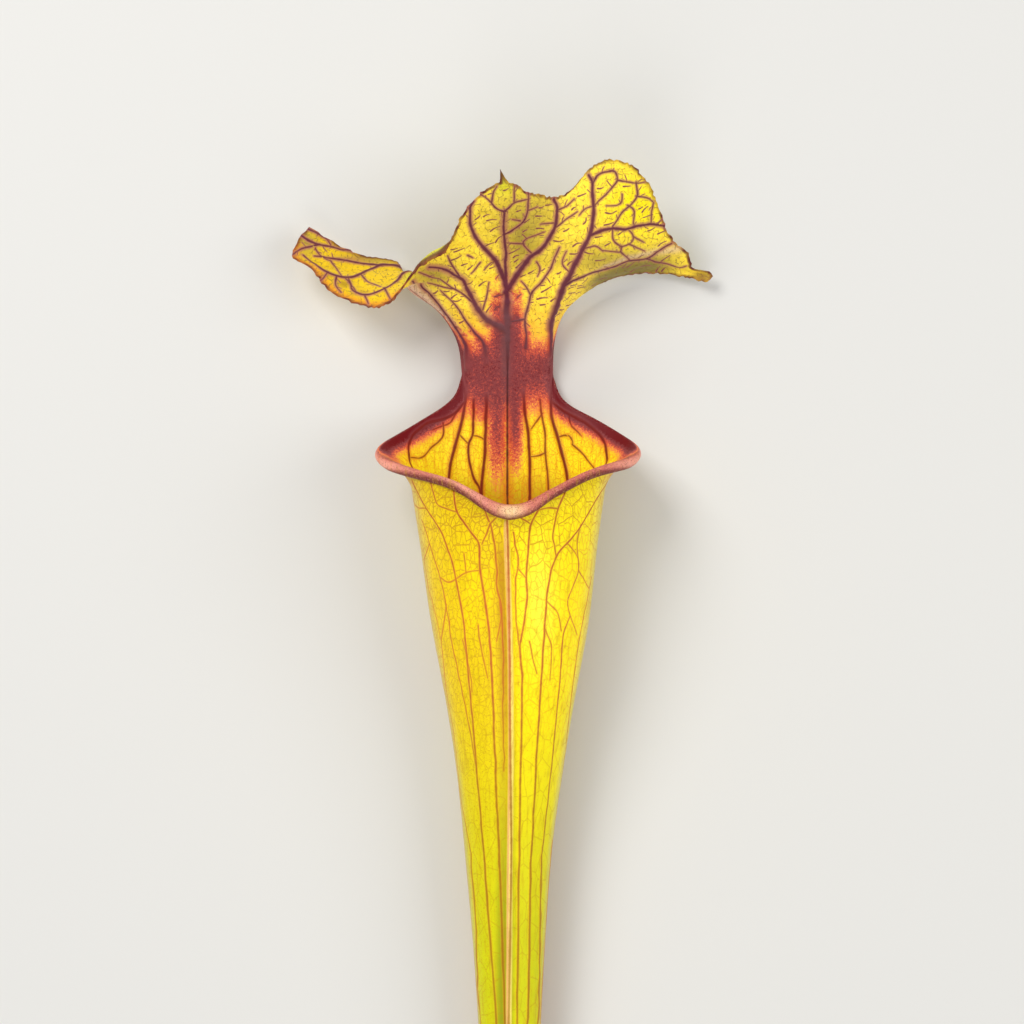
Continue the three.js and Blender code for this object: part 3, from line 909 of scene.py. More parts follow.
MIDRIB = (
    Vein((507.3, 364, 507.3, 500), 2, 1.8, 6, to_stalk=True, straight=True),
    Vein((507.3, 364, 507.3, 322), 2.6, 11, 6, straight=True),
    Vein((507.3, 322, 506.4, 300, 505.8, 280), 9, 5.5, 4),
    Vein((505.8, 280, 505.6, 262, 504.4, 235, 504.4, 210.5), 3.8, 2.6, 4),
)

LID_VEINS = (
    Vein((504.4, 210.5, 498.7, 209.7, 494.9, 205.9, 491.8, 200.6, 485.7, 196.7,
          481, 194.4), 2.2, 1.3),
    Vein((491.8, 200.6, 493.7, 190.6, 496.4, 186.8), 1.6, 1.1),
    Vein((504.4, 210.5, 507.7, 208, 515.3, 201.3, 527.5, 199), 2, 1.3),
    Vein((513.8, 200.5, 513.8, 187.5), 1.4, 1),
    Vein((504.6, 233.4, 512, 230.3, 520, 224.2, 525.2, 217.3, 528.3, 209.7,
          528.7, 199, 527.5, 191.3), 2.4, 1.5, 2),
    Vein((528.3, 209.7, 536, 207), 1.4, 1),
    Vein((519, 220, 513, 219), 1.5, 1),
    Vein((506, 290, 514, 277, 530.6, 255.6, 542.8, 246.4, 549.7, 236.5,
          555.9, 226.5, 556.6, 217.3, 557, 205, 553.6, 200.5), 7.5, 3.6, 2.5),
    Vein((555, 222.3, 541.3, 223.5), 1.5, 1),
    Vein((557.4, 225.7, 566, 219, 576.5, 212), 1.5, 1),
    Vein((557, 210, 565.8, 206.6, 573.4, 199.7), 1.5, 1),
    Vein((530.6, 251.8, 522.2, 243.3, 522.2, 239.5, 527.5, 236.5, 542.8, 232), 1.5, 1),
    Vein((522, 243, 506, 242), 1.4, 1.2),
    Vein((548.7, 352, 548.7, 329, 551.5, 315, 557, 302.5, 564.5, 282, 574, 266,
          582, 250, 590, 235.7, 590.8, 226, 594, 213.3, 594, 203.8, 592.4, 192.6,
          593.2, 180, 590, 176.7), 8.5, 3.4, 2),
    Vein((592.6, 185, 594.8, 178.3, 601.2, 172, 615.5, 168.7, 619, 179,
          607.6, 192.6, 597.2, 201.4, 594, 206), 1.9, 1.5),
    Vein((619, 180, 636, 183, 642.6, 182.3), 1.5, 1.1),
    Vein((636, 183, 637, 195.8, 628.3, 205.4, 618.7, 215, 611.5, 227), 1.6, 1.6),
    Vein((637, 195.8, 647.4, 196.6, 653, 202), 1.4, 1),
    Vein((653, 203, 650.6, 222), 1.3, 1.3),
    Vein((628.3, 205.4, 634, 208.6, 634.7, 213.3, 633, 226), 1.3, 1.3),
    Vein((621.9, 195, 621.9, 205.4, 607.6, 205.4), 1.2, 0.9),
    Vein((591.6, 234, 602.8, 230, 612.3, 228, 628.3, 227.7, 650.6, 222,
          657, 223.7, 663.4, 226), 4, 3, 2.5),
    Vein((657, 223.7, 661.8, 219), 1.3, 1),
    Vein((621, 246, 612.3, 240.4, 613, 234, 612.3, 228), 1.4, 1.3),
    Vein((621, 246, 629, 243.6, 633.9, 236.5, 629, 230), 1.4, 1.2),
    Vein((633.9, 236.5, 642.6, 241.2), 1.3, 0.9),
    Vein((629, 243.6, 643.4, 250), 1.3, 0.9),
    Vein((621, 246, 621, 251.6, 602.8, 250), 1.4, 0.9),
    Vein((621, 251.6, 629.9, 259.6), 1.4, 1.2),
    Vein((565, 284, 569.3, 281, 591.6, 271.5, 612.3, 266, 629.9, 259.6,
          646.6, 258, 655.4, 252.4, 663.4, 246, 669.7, 243.6), 4, 2.4, 2.5),
    Vein((646.6, 258, 666.5, 263.6, 681, 267.6, 685, 266), 1.8, 1.2),
    Vein((559, 248, 553, 262, 545, 278, 534.7, 288, 530.5, 294, 527.7, 312,
          524, 320, 527, 336, 526.3, 346), 1.3, 3, 2),
    Vein((523.5, 319, 512, 320.7, 507.3, 322), 2, 2.4),
    Vein((530, 293, 526.3, 285.6, 522, 281.4), 1.5, 1),
    Vein((506, 285, 499.5, 265.6, 491.8, 255.6, 482.6, 245.7, 475, 236.5,
          470.8, 228.9, 469.6, 221.2, 470.4, 213.6, 469.6, 206.7, 472.7, 201.3),
         6.5, 2.6, 2.5),
    Vein((506, 330, 503.8, 327.7, 492.6, 323.5, 484.2, 318, 475.8, 306.7,
          468.2, 291, 462.8, 280, 456.3, 274.6, 449.2, 269, 441, 267, 430, 266.5),
         7.5, 2.8, 4),
    Vein((459, 275, 452.5, 266.5, 448, 256), 2, 1.5),
    Vein((476, 306, 465.5, 295, 453.5, 287.6, 445.4, 281.7, 435.7, 276.3,
          427.5, 275.2, 419.4, 272), 2, 1.3),
    Vein((451.4, 288, 441, 286, 429.7, 282.8), 1.5, 1),
    Vein((468, 366, 467, 346, 463, 336, 450.5, 318, 438, 301, 425.4, 288.7,
          418.3, 283.8, 411.8, 279.5), 6, 2.4, 3.5),
    Vein((486, 362, 484.2, 347, 482.8, 340, 475.8, 332, 466, 320.7, 458.9, 306.7,
          442, 291), 3, 1.4, 2),
    Vein((482.8, 308, 485.6, 298, 488.4, 283), 1.5, 1),
    Vein((464.5, 368, 461, 350, 453, 333, 440, 314, 425, 300, 412, 290), 1.6, 1.1, 2),
    Vein((479, 263, 472, 272), 1.5, 1),
    Vein((468, 255, 472, 257), 1.4, 1),
    Vein((497, 260, 489, 262, 485, 268), 1.3, 0.9),
    Vein((537, 262, 541, 268, 538, 275), 1.3, 0.9),
    Vein((583, 248, 596, 246, 602, 250), 1.4, 1),
    Vein((570, 272, 560, 262, 566, 252), 1.3, 0.9),
    Vein((594, 206, 585, 207, 580, 214), 1.3, 0.9),
)

LOBE_VEINS = tuple(
    Vein(course, start, end, 2.5, Face.OUTER)
    for course, start, end in (
        ((398, 267, 380, 266, 372, 270, 360, 276, 350, 279.5, 336, 278,
          327, 274.5, 315, 266, 303, 257), 4.6, 2.6),
        ((409, 273, 398, 283, 385, 290, 377, 294, 365, 297, 352, 292, 348, 280),
         3.4, 2.2),
        ((380, 267, 359, 264.5, 344, 261, 315, 257), 3, 2),
        ((301, 236, 310, 242, 318, 245, 330, 246, 350, 252), 2.6, 1.6),
        ((318, 245, 300, 249, 292, 256), 2.2, 1.8),
        ((308, 229, 325, 237, 330, 245), 2, 1.5),
        ((336, 278, 334, 286, 340, 292), 2, 1.3),
        ((365, 297, 368, 303), 1.8, 1.3),
        ((385, 290, 390, 298), 1.8, 1.3),
        ((360, 276, 368, 284, 380, 288), 1.8, 1.3),
        ((327, 274, 322, 280), 1.6, 1.2),
        ((345, 280, 352, 286, 356, 294), 1.6, 1.2),
        ((330, 262, 336, 270, 342, 279), 1.5, 1.1),
        ((315, 250, 320, 258, 330, 262), 1.5, 1.1),
    )
)

THROAT_VEINS = (
    Vein((463, 366, 467, 391, 464, 410.6, 457.6, 433.6, 452, 451, 447, 475.7),
         4, 4.4, 3, to_stalk=True),
    Vein((466, 400, 455.7, 412.5, 442, 420, 425, 424, 411.7, 435.5, 407, 447,
          408, 464), 2.6, 2.6, 2.5, to_stalk=True),
    Vein((442, 424, 443, 435.5, 432.7, 445, 423, 456.5, 409.7, 458.4), 1.7, 1.2, 2),
    Vein((474, 400, 473, 422, 473, 435.5, 467, 443, 468, 460.4, 473, 479.5,
          479.6, 487), 2.4, 2.6, 2.5, to_stalk=True),
    Vein((486.3, 395, 486.3, 408.7, 485.3, 427.8, 484.4, 452.7, 480.5, 489),
         3.4, 2.8, 2.5, to_stalk=True),
    Vein((524, 392, 524.5, 408.7, 528.4, 427.8, 530.3, 456.5, 530.3, 494.8),
         3, 3.2, 2.5, to_stalk=True),
    Vein((540, 400, 541.7, 414.4, 545.6, 433.6, 545.6, 452.7, 548.4, 471.8,
          549.4, 487), 1.6, 1.8, 2, to_stalk=True),
    Vein((541.7, 414, 532, 428), 1.5, 1.2, 2),
    Vein((551, 366, 549.4, 391.5, 551.3, 414.4, 559, 437.4, 564.7, 458.4,
          568.5, 473.7), 4, 4.4, 3, to_stalk=True),
    Vein((553, 402, 566.6, 412.5, 585.8, 422, 601, 435.5, 606.8, 445, 608.7, 462.3),
         2.8, 2.8, 2.5, to_stalk=True),
    Vein((570.4, 415, 570.4, 422, 582, 435.5), 1.5, 1.2, 2),
    Vein((574.3, 445, 587.7, 456.5, 595.3, 468), 1.6, 1.4, 2),
    Vein((455.7, 412.5, 448, 424, 432, 430), 1.5, 1.1, 2),
    Vein((467, 443, 460, 436, 457.6, 433.6), 1.4, 1.2, 2),
    Vein((545.6, 452.7, 538, 456, 530.3, 456.5), 1.4, 1.2, 2),
    Vein((559, 437.4, 566, 434, 574, 438, 574.3, 445), 1.5, 1.3, 2),
    Vein((484.8, 440, 478, 436, 473, 435.5), 1.3, 1.1, 2),
)

FRONT_VEINS = tuple(
    Vein(course, start, end, 1.5, Face.OUTER, to_stalk)
    for course, start, end, to_stalk in (
        ((424, 520.7, 431, 543, 442, 577, 447.7, 605, 452, 634, 459, 669,
          465, 700, 472, 735, 477, 765), 1.5, 1.5, False),
        ((414, 481, 428, 508, 443.5, 532, 453.3, 560, 459, 589, 464.5, 620,
          468, 655, 471, 690, 478, 770, 485.5, 860, 497.7, 1024), 1.8, 1.8, True),
        ((454.7, 490, 457.5, 512, 467.3, 526, 480, 542, 480.7, 570, 485.6, 601,
          489.8, 631.5, 492.8, 680, 496, 770, 500, 860, 505.5, 1024), 1.9, 1.8, True),
        ((432, 483, 438, 505, 456, 511), 1.5, 1.3, False),
        ((484, 505, 490.5, 523.5, 495.4, 547, 496.8, 589, 501, 602, 503, 634,
          503.4, 700, 504, 770), 1.6, 1, False),
        ((490.5, 523.5, 482.8, 543), 1.5, 1.3, False),
        ((490.5, 523, 496.8, 516.5), 1.3, 1.1, False),
        ((513.6, 533, 518, 554, 518, 568, 515, 578, 515.8, 620, 518.6, 644),
         1.5, 1.3, False),
        ((537.5, 509.5, 529.8, 523.5, 527, 558.6, 525.6, 578, 527, 596.5,
          523.5, 624.5, 519.3, 645.6, 522, 676, 520.4, 760, 518.4, 860,
          516.6, 1024), 1.7, 1.6, True),
        ((522, 518, 529.8, 523), 1.3, 1.3, False),
        ((606, 480, 590.8, 505, 578, 528, 565.6, 543, 555, 554.4, 550, 571,
          546, 596.5, 543.8, 627, 540.6, 675, 535, 765, 529.9, 860, 526.6, 1024),
         1.8, 1.8, True),
        ((564, 492.6, 555.7, 509.5, 551.5, 536, 555, 554.4), 1.7, 1.6, False),
        ((555, 508, 547, 507, 537.5, 509.5), 1.3, 1.3, False),
        ((576.8, 558.6, 578, 570, 571, 587, 565.6, 601, 568.4, 616, 575.4, 634),
         1.5, 1.1, False),
        ((568.4, 616, 561.5, 634, 558.6, 680, 550, 765, 540, 860, 536, 1024),
         1.5, 1.5, True),
        ((589.4, 578, 582.4, 613, 576.8, 641, 571, 683.5, 560, 780, 551, 860,
          541, 1024), 1.5, 1.4, True),
        ((447.7, 605, 443, 640, 448, 690, 456, 735, 463, 800, 472, 850, 478, 920,
          481, 1007), 1.2, 1.3, True),
        ((579, 524, 575, 540, 576.8, 558.6), 1.3, 1.3, False),
        ((577.6, 571, 587, 588), 1.2, 1, False),
        ((443.4, 578, 450, 583, 466, 572, 479, 570), 1.2, 1, False),
        ((465, 554, 467, 572), 1.1, 1, False),
        ((500, 601, 501.5, 617, 497, 640), 1.1, 0.9, False),
        ((529, 641, 531.6, 654, 536, 672), 1.1, 0.9, False),
        ((479, 625, 481.6, 649, 488, 676), 1.2, 1, False),
        ((560, 630, 556, 612, 545.5, 600), 1.1, 1, False),
        ((431, 543, 426, 560, 430, 585, 437, 612, 443, 640), 1.1, 1.1, False),
        ((566, 543, 574, 551, 576.8, 558.6), 1.1, 1, False),
        ((415, 500, 420, 508, 428, 508), 1.2, 1, False),
        ((464, 640, 470, 665, 473, 690), 1, 0.9, False),
        ((518, 568, 525.6, 578), 1.1, 1, False),
        ((543.8, 627, 550, 645, 549, 680), 1, 0.9, False),
    )
) + (
    Vein((507.3, 518, 508.7, 578, 510, 662, 510, 700, 511, 850, 508.8, 1024),
         1.8, 1.3, 1, Face.OUTER, to_stalk=True, straight=True),
)


def resample(course: Array, step: float) -> Array:
    """Returns places at equal steps of about the given length along straight stretches."""
    run = np.concatenate([[0], np.cumsum(np.linalg.norm(np.diff(course, axis=0), axis=1))])
    walk = np.linspace(0, run[-1], max(4, round(run[-1] / step) + 1))
    return np.stack([np.interp(walk, run, axis) for axis in course.T], -1)


@dataclass(frozen=True)
class LaidVein:
    """A vein in place: samples in its reach, steps to it, half widths there and its stain."""

    near: Array
    steps: Array
    half: Array
    halo: float


@dataclass
class VeinField:
    """The veins over the sheet, with each sample's distance to the nearest of them."""

    sheet: LeafSheet
    samples: Samples
    reach: float = 3.2
    step: float = 0.8
    course_step: float = 6.0
    waver: float = 0.17
    waver_pitch: float = 3.2
    stalk_step: float = 9.0
    wander: float = 1.1
    side_angles: tuple = (97, 108, 119, 131, 144, 157, 169)
    side_widths: tuple = (0.42, 0.5)
    # How high the veins of the tube's back start: lowest and highest
    back_tops: tuple = (255, 278)
    links: int = 90
    link_angles: tuple = (92, 268)
    link_heights: tuple = (60, 262)
    link_widths: tuple = (0.16, 0.14)
    # A link's three corners: millimetres up from its foot, and degrees round from it
    link_rise: tuple = (0, 4, 9)
    link_turn: tuple = (0, 4, 11)
    side_halo: float = 0.3
    link_halo: float = 0.2
    # How much wider the halos are on the inner face
    inner_halo: float = 1.6
    # How far off along the normal a vein still counts as on the same stretch of the sheet
    sheet_depth: float = 2.2
    thicken: float = 0.95
    taper: float = 0.75
    stalk_waver: float = 0.07
    # How a vein's width swells: its share, and two rates in radians a millimetre
    beading: tuple = (0.2, 1.9, 0.7)
    # What is written where no vein is near: half a width, and half a width and a halo
    no_vein: tuple = (0.05, 0.02)
    # Twigs: their spacing, lengths and width, and how far they lean along the vein
    twig_spacing: float = 3.4
    twig_length: tuple = (0.6, 2.6)
    twig_width: float = 0.1
    twig_lean: tuple = (-0.7, 0.9)
    # Strokes on the lid: how many are tried, the area's corners and their lengths in pixels,
    # their slant and its spread in degrees, their bend as a share of their length, the least
    # way to another vein in millimetres, the square of how many pixels they may lie off the
    # leaf, and their widths and halo in pixels
    dashes: int = 420
    dash_area: tuple = ((436, 178), (672, 322))
    dash_length: tuple = (3.0, 9.0)
    dash_slant: tuple = (22.0, 14.0)
    dash_bend: float = 0.12
    dash_gap: float = 0.75
    dash_miss: float = 4.0
    dash: tuple = (1.2, 0.7, 0.6)
    seed: int = 23

    def __post_init__(self) -> None:
        """Starts with no vein in reach, then lays them all."""
        count = len(self.samples.places)
        self.distance = np.full(count, self.reach)
        self.half_width = np.full(count, self.no_vein[0])
        self.laid: list[LaidVein] = []
        self.draw = np.random.default_rng(self.seed)
        up = self.samples.normals[:, 2] > 0
        self.seen = {Face.OUTER: np.flatnonzero(up), Face.INNER: np.flatnonzero(~up)}
        for vein in MIDRIB[2:] + LID_VEINS + LOBE_VEINS:
            self.lay_twigs(*self.lay_seen(vein))
        for vein in MIDRIB[:2] + THROAT_VEINS + FRONT_VEINS:
            self.lay_seen(vein)
        self.lay_sides()
        self.lay_links()
        self.lay_dashes()

    def lay_seen(self, vein: Vein) -> tuple[Array, Array]:
        """Lays a vein that the photograph shows, and what it runs on to down the stalk.

        Each point of its course takes its height, normal and angle from the four samples that
        are seen nearest to it, weighted by one over the square of their distance.

        Args:
            vein: The vein.

        Returns:
            Its places at equal steps, and the sheet's normals there.
        """
        samples = self.samples
        view = self.sheet.view
        corners = np.reshape(vein.course, (-1, 2)).astype(float)
        course = resample(corners, self.course_step)
        among = self.seen[vein.face]
        apart = ((samples.pixels[among][None] - course[:, None]) ** 2).sum(axis=2)
        nearest = np.argpartition(apart, 4, axis=1)[:, :4]
        weight = 1 / (np.take_along_axis(apart, nearest, axis=1) + 0.01)
        weight /= weight.sum(axis=1, keepdims=True)
        near = among[nearest]
        height = (weight * samples.places[near][..., 2]).sum(axis=1)
        places = view.place(np.column_stack([course, height]))
        end = vein.end * (1 if vein.to_stalk else self.taper)
        widths = np.array([vein.start, end]) * view.pixel / 2 * self.thicken
        halo = vein.halo * view.pixel * (self.inner_halo if vein.face is Face.INNER else 1)
        if vein.to_stalk:
            turn = np.radians(samples.angle[near[-1]])
            angle = math.degrees(math.atan2(
                (weight[-1] * np.sin(turn)).sum(), (weight[-1] * np.cos(turn)).sum()
            ))
            start = places[-1, 1] + self.sheet.length / 2
            places = np.concatenate([places, self.down_stalk(angle, start)])
        waver = self.stalk_waver if vein.to_stalk else self.waver
        return self.lay(places, widths, halo, 0.0 if vein.straight else waver)

    def lay_twigs(self, path: Array, normals: Array) -> None:
        """Lets short fine side veins leave a vein, now to one side and now to the other.

        A twig leaves in the sheet, at an angle to the vein, and bends towards the vein's way.

        Args:
            path: The vein's places.
            normals: The sheet's normals there.
        """
        spacing = max(2, round(self.twig_spacing / self.step))
        for k in range(self.draw.integers(1, spacing + 1), len(path) - 2, spacing):
            forward = unit(path[k + 1] - path[k - 1])
            aside = np.cross(normals[k], forward) * self.draw.choice([-1, 1])
            lean = self.draw.uniform(*self.twig_lean)
            length = self.draw.uniform(*self.twig_length) * self.draw.uniform(0.5, 1)
            away = unit(aside + lean * forward)
            bent = unit(aside * 0.6 + lean * 2 * forward)
            course = path[k] + length * np.array([0 * away, 0.5 * away, 0.5 * away + 0.5 * bent])
            width = self.twig_width * self.draw.uniform(0.6, 1.1)
            self.lay(course, np.array([width, width * 0.6]), self.side_halo)

    def down_stalk(self, angle: float, start: float) -> Array:
        """Runs a vein on from a place of the tube down to the cut end.

        Args:
            angle: Degrees round from the front.
            start: Height above the cut end, in millimetres.

        Returns:
            Its places at equal steps down, which wander a little in angle.
        """
        heights = np.arange(start - self.stalk_step, 0, -self.stalk_step)
        drift = np.cumsum(self.draw.normal(0, self.wander, len(heights))) * (abs(angle) > 3)
        drift *= np.linspace(1, 0.4, len(heights)) if len(heights) else 1
        return self.sheet.plain_wall(angle + drift, heights)

    def lay_sides(self) -> None:
        """Lays veins down the tube's sides and back, where the photograph shows none."""
        rim = np.array(self.sheet.rim, float)
        tops = self.sheet.view.place(rim[:, 1:])[:, 1] + self.sheet.length / 2
        for side in (-1, 1):
            for angle in self.side_angles:
                place = side * angle + self.draw.normal(0, 1.5)
                hidden = abs(place) > 95
                rim_top = np.interp(place, rim[:, 0], tops)
                top = self.draw.uniform(*self.back_tops) if hidden else rim_top - 4
                heights = np.arange(top, 0, -self.stalk_step)
                drift = np.cumsum(self.draw.normal(0, self.wander, len(heights)))
                width = self.draw.uniform(*self.side_widths) / 2
                wall = self.sheet.plain_wall(place + drift - drift[0], heights)
                self.lay(wall, np.array([width, width]), self.side_halo)

    def lay_links(self) -> None:
        """Lays short slanted veins that join the long ones round the tube."""
        for _ in range(self.links):
            angle = self.draw.uniform(*self.link_angles)
            low = self.draw.uniform(*self.link_heights)
            heights = low + np.array(self.link_rise)
            angles = angle + self.draw.choice([-1, 1]) * np.array(self.link_turn)
            wall = self.sheet.plain_wall(wrap(angles), heights)
            self.lay(wall, np.array(self.link_widths), self.link_halo)

    def lay_dashes(self) -> None:
        """Lays short fine strokes over the lid's inner face, between the other veins.

        Each has a random middle in an area of the photograph. It is left out where it would
        start or end off the leaf or near another vein.
        """
        samples = self.samples
        among = self.seen[Face.INNER]
        middles = self.draw.uniform(*self.dash_area, (self.dashes, 2))
        lengths = self.draw.uniform(*self.dash_length, self.dashes)
        slants = np.radians(self.draw.normal(*self.dash_slant, self.dashes))
        bends = self.draw.normal(0, self.dash_bend, self.dashes) * lengths
        for middle, length, slant, bend in zip(middles, lengths, slants, bends):
            forward = np.array([math.cos(slant), -math.sin(slant)])
            aside = np.array([forward[1], -forward[0]])
            course = middle + length * np.array([-0.5, 0, 0.5])[:, None] * forward
            course[1] += bend * aside
            apart = ((samples.pixels[among][None] - course[:, None]) ** 2).sum(axis=2)
            nearest = among[apart.argmin(axis=1)]
            on_leaf = apart.min(axis=1).max() < self.dash_miss
            if on_leaf and (self.distance[nearest] > self.dash_gap).all():
                self.lay_seen(Vein(tuple(course.ravel()), *self.dash))

    def lay(
        self, course: Array, widths: Array, halo: float, waver: float = 0.1
    ) -> tuple[Array, Array]:
        """Lays one vein through its places, with its corners rounded and a little wander.

        At each sample in reach the nearest of the vein's points is found, and the step to it
        loses its part along the vein, up to half the points' spacing, and its part along the
        sheet's normal.

        Args:
            course: The places that it runs through, in millimetres.
            widths: Half its width at both ends.
            halo: How far its stain spreads from its edge.
            waver: How far it wanders to its sides.

        Returns:
            Its places at equal steps, and the sheet's normals there.
        """
        path = resample(course, self.step)
        path[1:-1] = (path[:-2] + path[1:-1] + path[2:]) / 3
        slack = np.linalg.norm(path[2] - path[1]) / 2
        walk = 2 * slack * np.arange(len(path))
        knots = np.arange(0, walk[-1] + 2 * self.waver_pitch, self.waver_pitch)
        drift = self.draw.normal(0, waver, (len(knots), 3))
        drift = np.stack([np.interp(walk, knots, axis) for axis in drift.T], -1)
        ends = np.minimum(walk, walk[-1] - walk) / self.waver_pitch
        path += drift * np.clip(ends, 0, 1)[:, None]
        tangent = unit(np.gradient(path, axis=0))
        half = np.interp(walk, [0, walk[-1]], widths)
        share, rate, slow_rate = self.beading
        beads = np.sin(walk * rate + self.draw.uniform(0, 6)) * np.sin(walk * slow_rate)
        half *= 1 + share * beads

        samples = self.samples
        low = path.min(axis=0) - self.reach
        high = path.max(axis=0) + self.reach
        inside = ((samples.places > low) & (samples.places < high)).all(axis=1)
        near = np.flatnonzero(inside)
        if not len(near):
            return path, np.zeros_like(path)
        places = samples.places[near]
        squares = (places**2).sum(axis=1)[:, None] + (path**2).sum(axis=1) - 2 * places @ path.T
        nearest = squares.argmin(axis=1)
        path_normals = samples.normals[near[squares.argmin(axis=0)]]
        step = path[nearest] - places
        along = (step * tangent[nearest]).sum(axis=1, keepdims=True)
        step -= np.clip(along, -slack, slack) * tangent[nearest]
        normal = samples.normals[near]
        through = (step * normal).sum(axis=1, keepdims=True)
        same_sheet = np.abs(through[:, 0]) < self.sheet_depth
        step -= through * normal
        distance = np.linalg.norm(step, axis=1)
        kept = same_sheet & (distance < self.reach)
        near, distance, wide = near[kept], distance[kept], half[nearest][kept]
        self.laid.append(LaidVein(near, step[kept], wide, halo))
        nearer = distance - wide < self.distance[near] - self.half_width[near]
        self.distance[near[nearer]] = distance[nearer]
        self.half_width[near[nearer]] = wide[nearer]
        return path, path_normals

    def at_corners(self, faces: Array) -> tuple[Array, Array]:
        """Finds the two veins whose edges are nearest to each face's middle.

        Both are measured from each corner of the face, so that the step to a vein changes
        evenly over the face and is zero just where the vein runs.

        Args:
            faces: The samples at the faces' corners, of shape (n, 3).

        Returns:
            The steps, of shape (2, n, 3, 3), and the half widths with the halos, of shape
            (2, n, 3, 2), in millimetres.
        """
        count = len(faces)
        margins = np.full((2, count), self.reach)
        steps = np.full((2, count, 3, 3), self.reach)
        sizes = np.full((2, count, 3, 2), self.no_vein[1])
        row_of = np.full(len(self.samples.places), -1)
        order = np.argsort(faces[:, 0], kind="stable")
        ends = np.cumsum(np.bincount(faces[:, 0], minlength=len(row_of)))
        starts = np.concatenate([[0], ends[:-1]])
        for vein in self.laid:
            row_of[vein.near] = np.arange(len(vein.near))
            counts = (ends - starts)[vein.near]
            before = np.cumsum(counts) - counts
            touched = order[np.repeat(starts[vein.near] - before, counts) + np.arange(counts.sum())]
            rows = row_of[faces[touched]]
            row_of[vein.near] = -1
            whole = rows.min(axis=1) >= 0
            touched, rows = touched[whole], rows[whole]
            step, half = vein.steps[rows], vein.half[rows]
            margin = np.linalg.norm(step.mean(axis=1), axis=1) - half.mean(axis=1)
            size = np.stack([half, np.full(half.shape, vein.halo)], -1)
            nearest = margin < margins[0, touched]
            second = ~nearest & (margin < margins[1, touched])
            first = touched[nearest]
            for table in (margins, steps, sizes):
                table[1, first] = table[0, first]
            for place, chosen in ((0, nearest), (1, second)):
                where = touched[chosen]
                margins[place, where] = margin[chosen]
                steps[place, where] = step[chosen]
                sizes[place, where] = size[chosen]
        return steps, sizes


# Colours and pattern


def screen_colour(red: int, green: int, blue: int) -> Colour:
    """Turns a colour as it shows on a screen, 0 to 255, into Blender's linear values."""
    def channel(value: int) -> float:
        """Undoes the screen's curve for one channel."""
        share = value / 255
        return share / 12.92 if share <= 0.04045 else ((share + 0.055) / 1.055) ** 2.4

    return channel(red), channel(green), channel(blue)


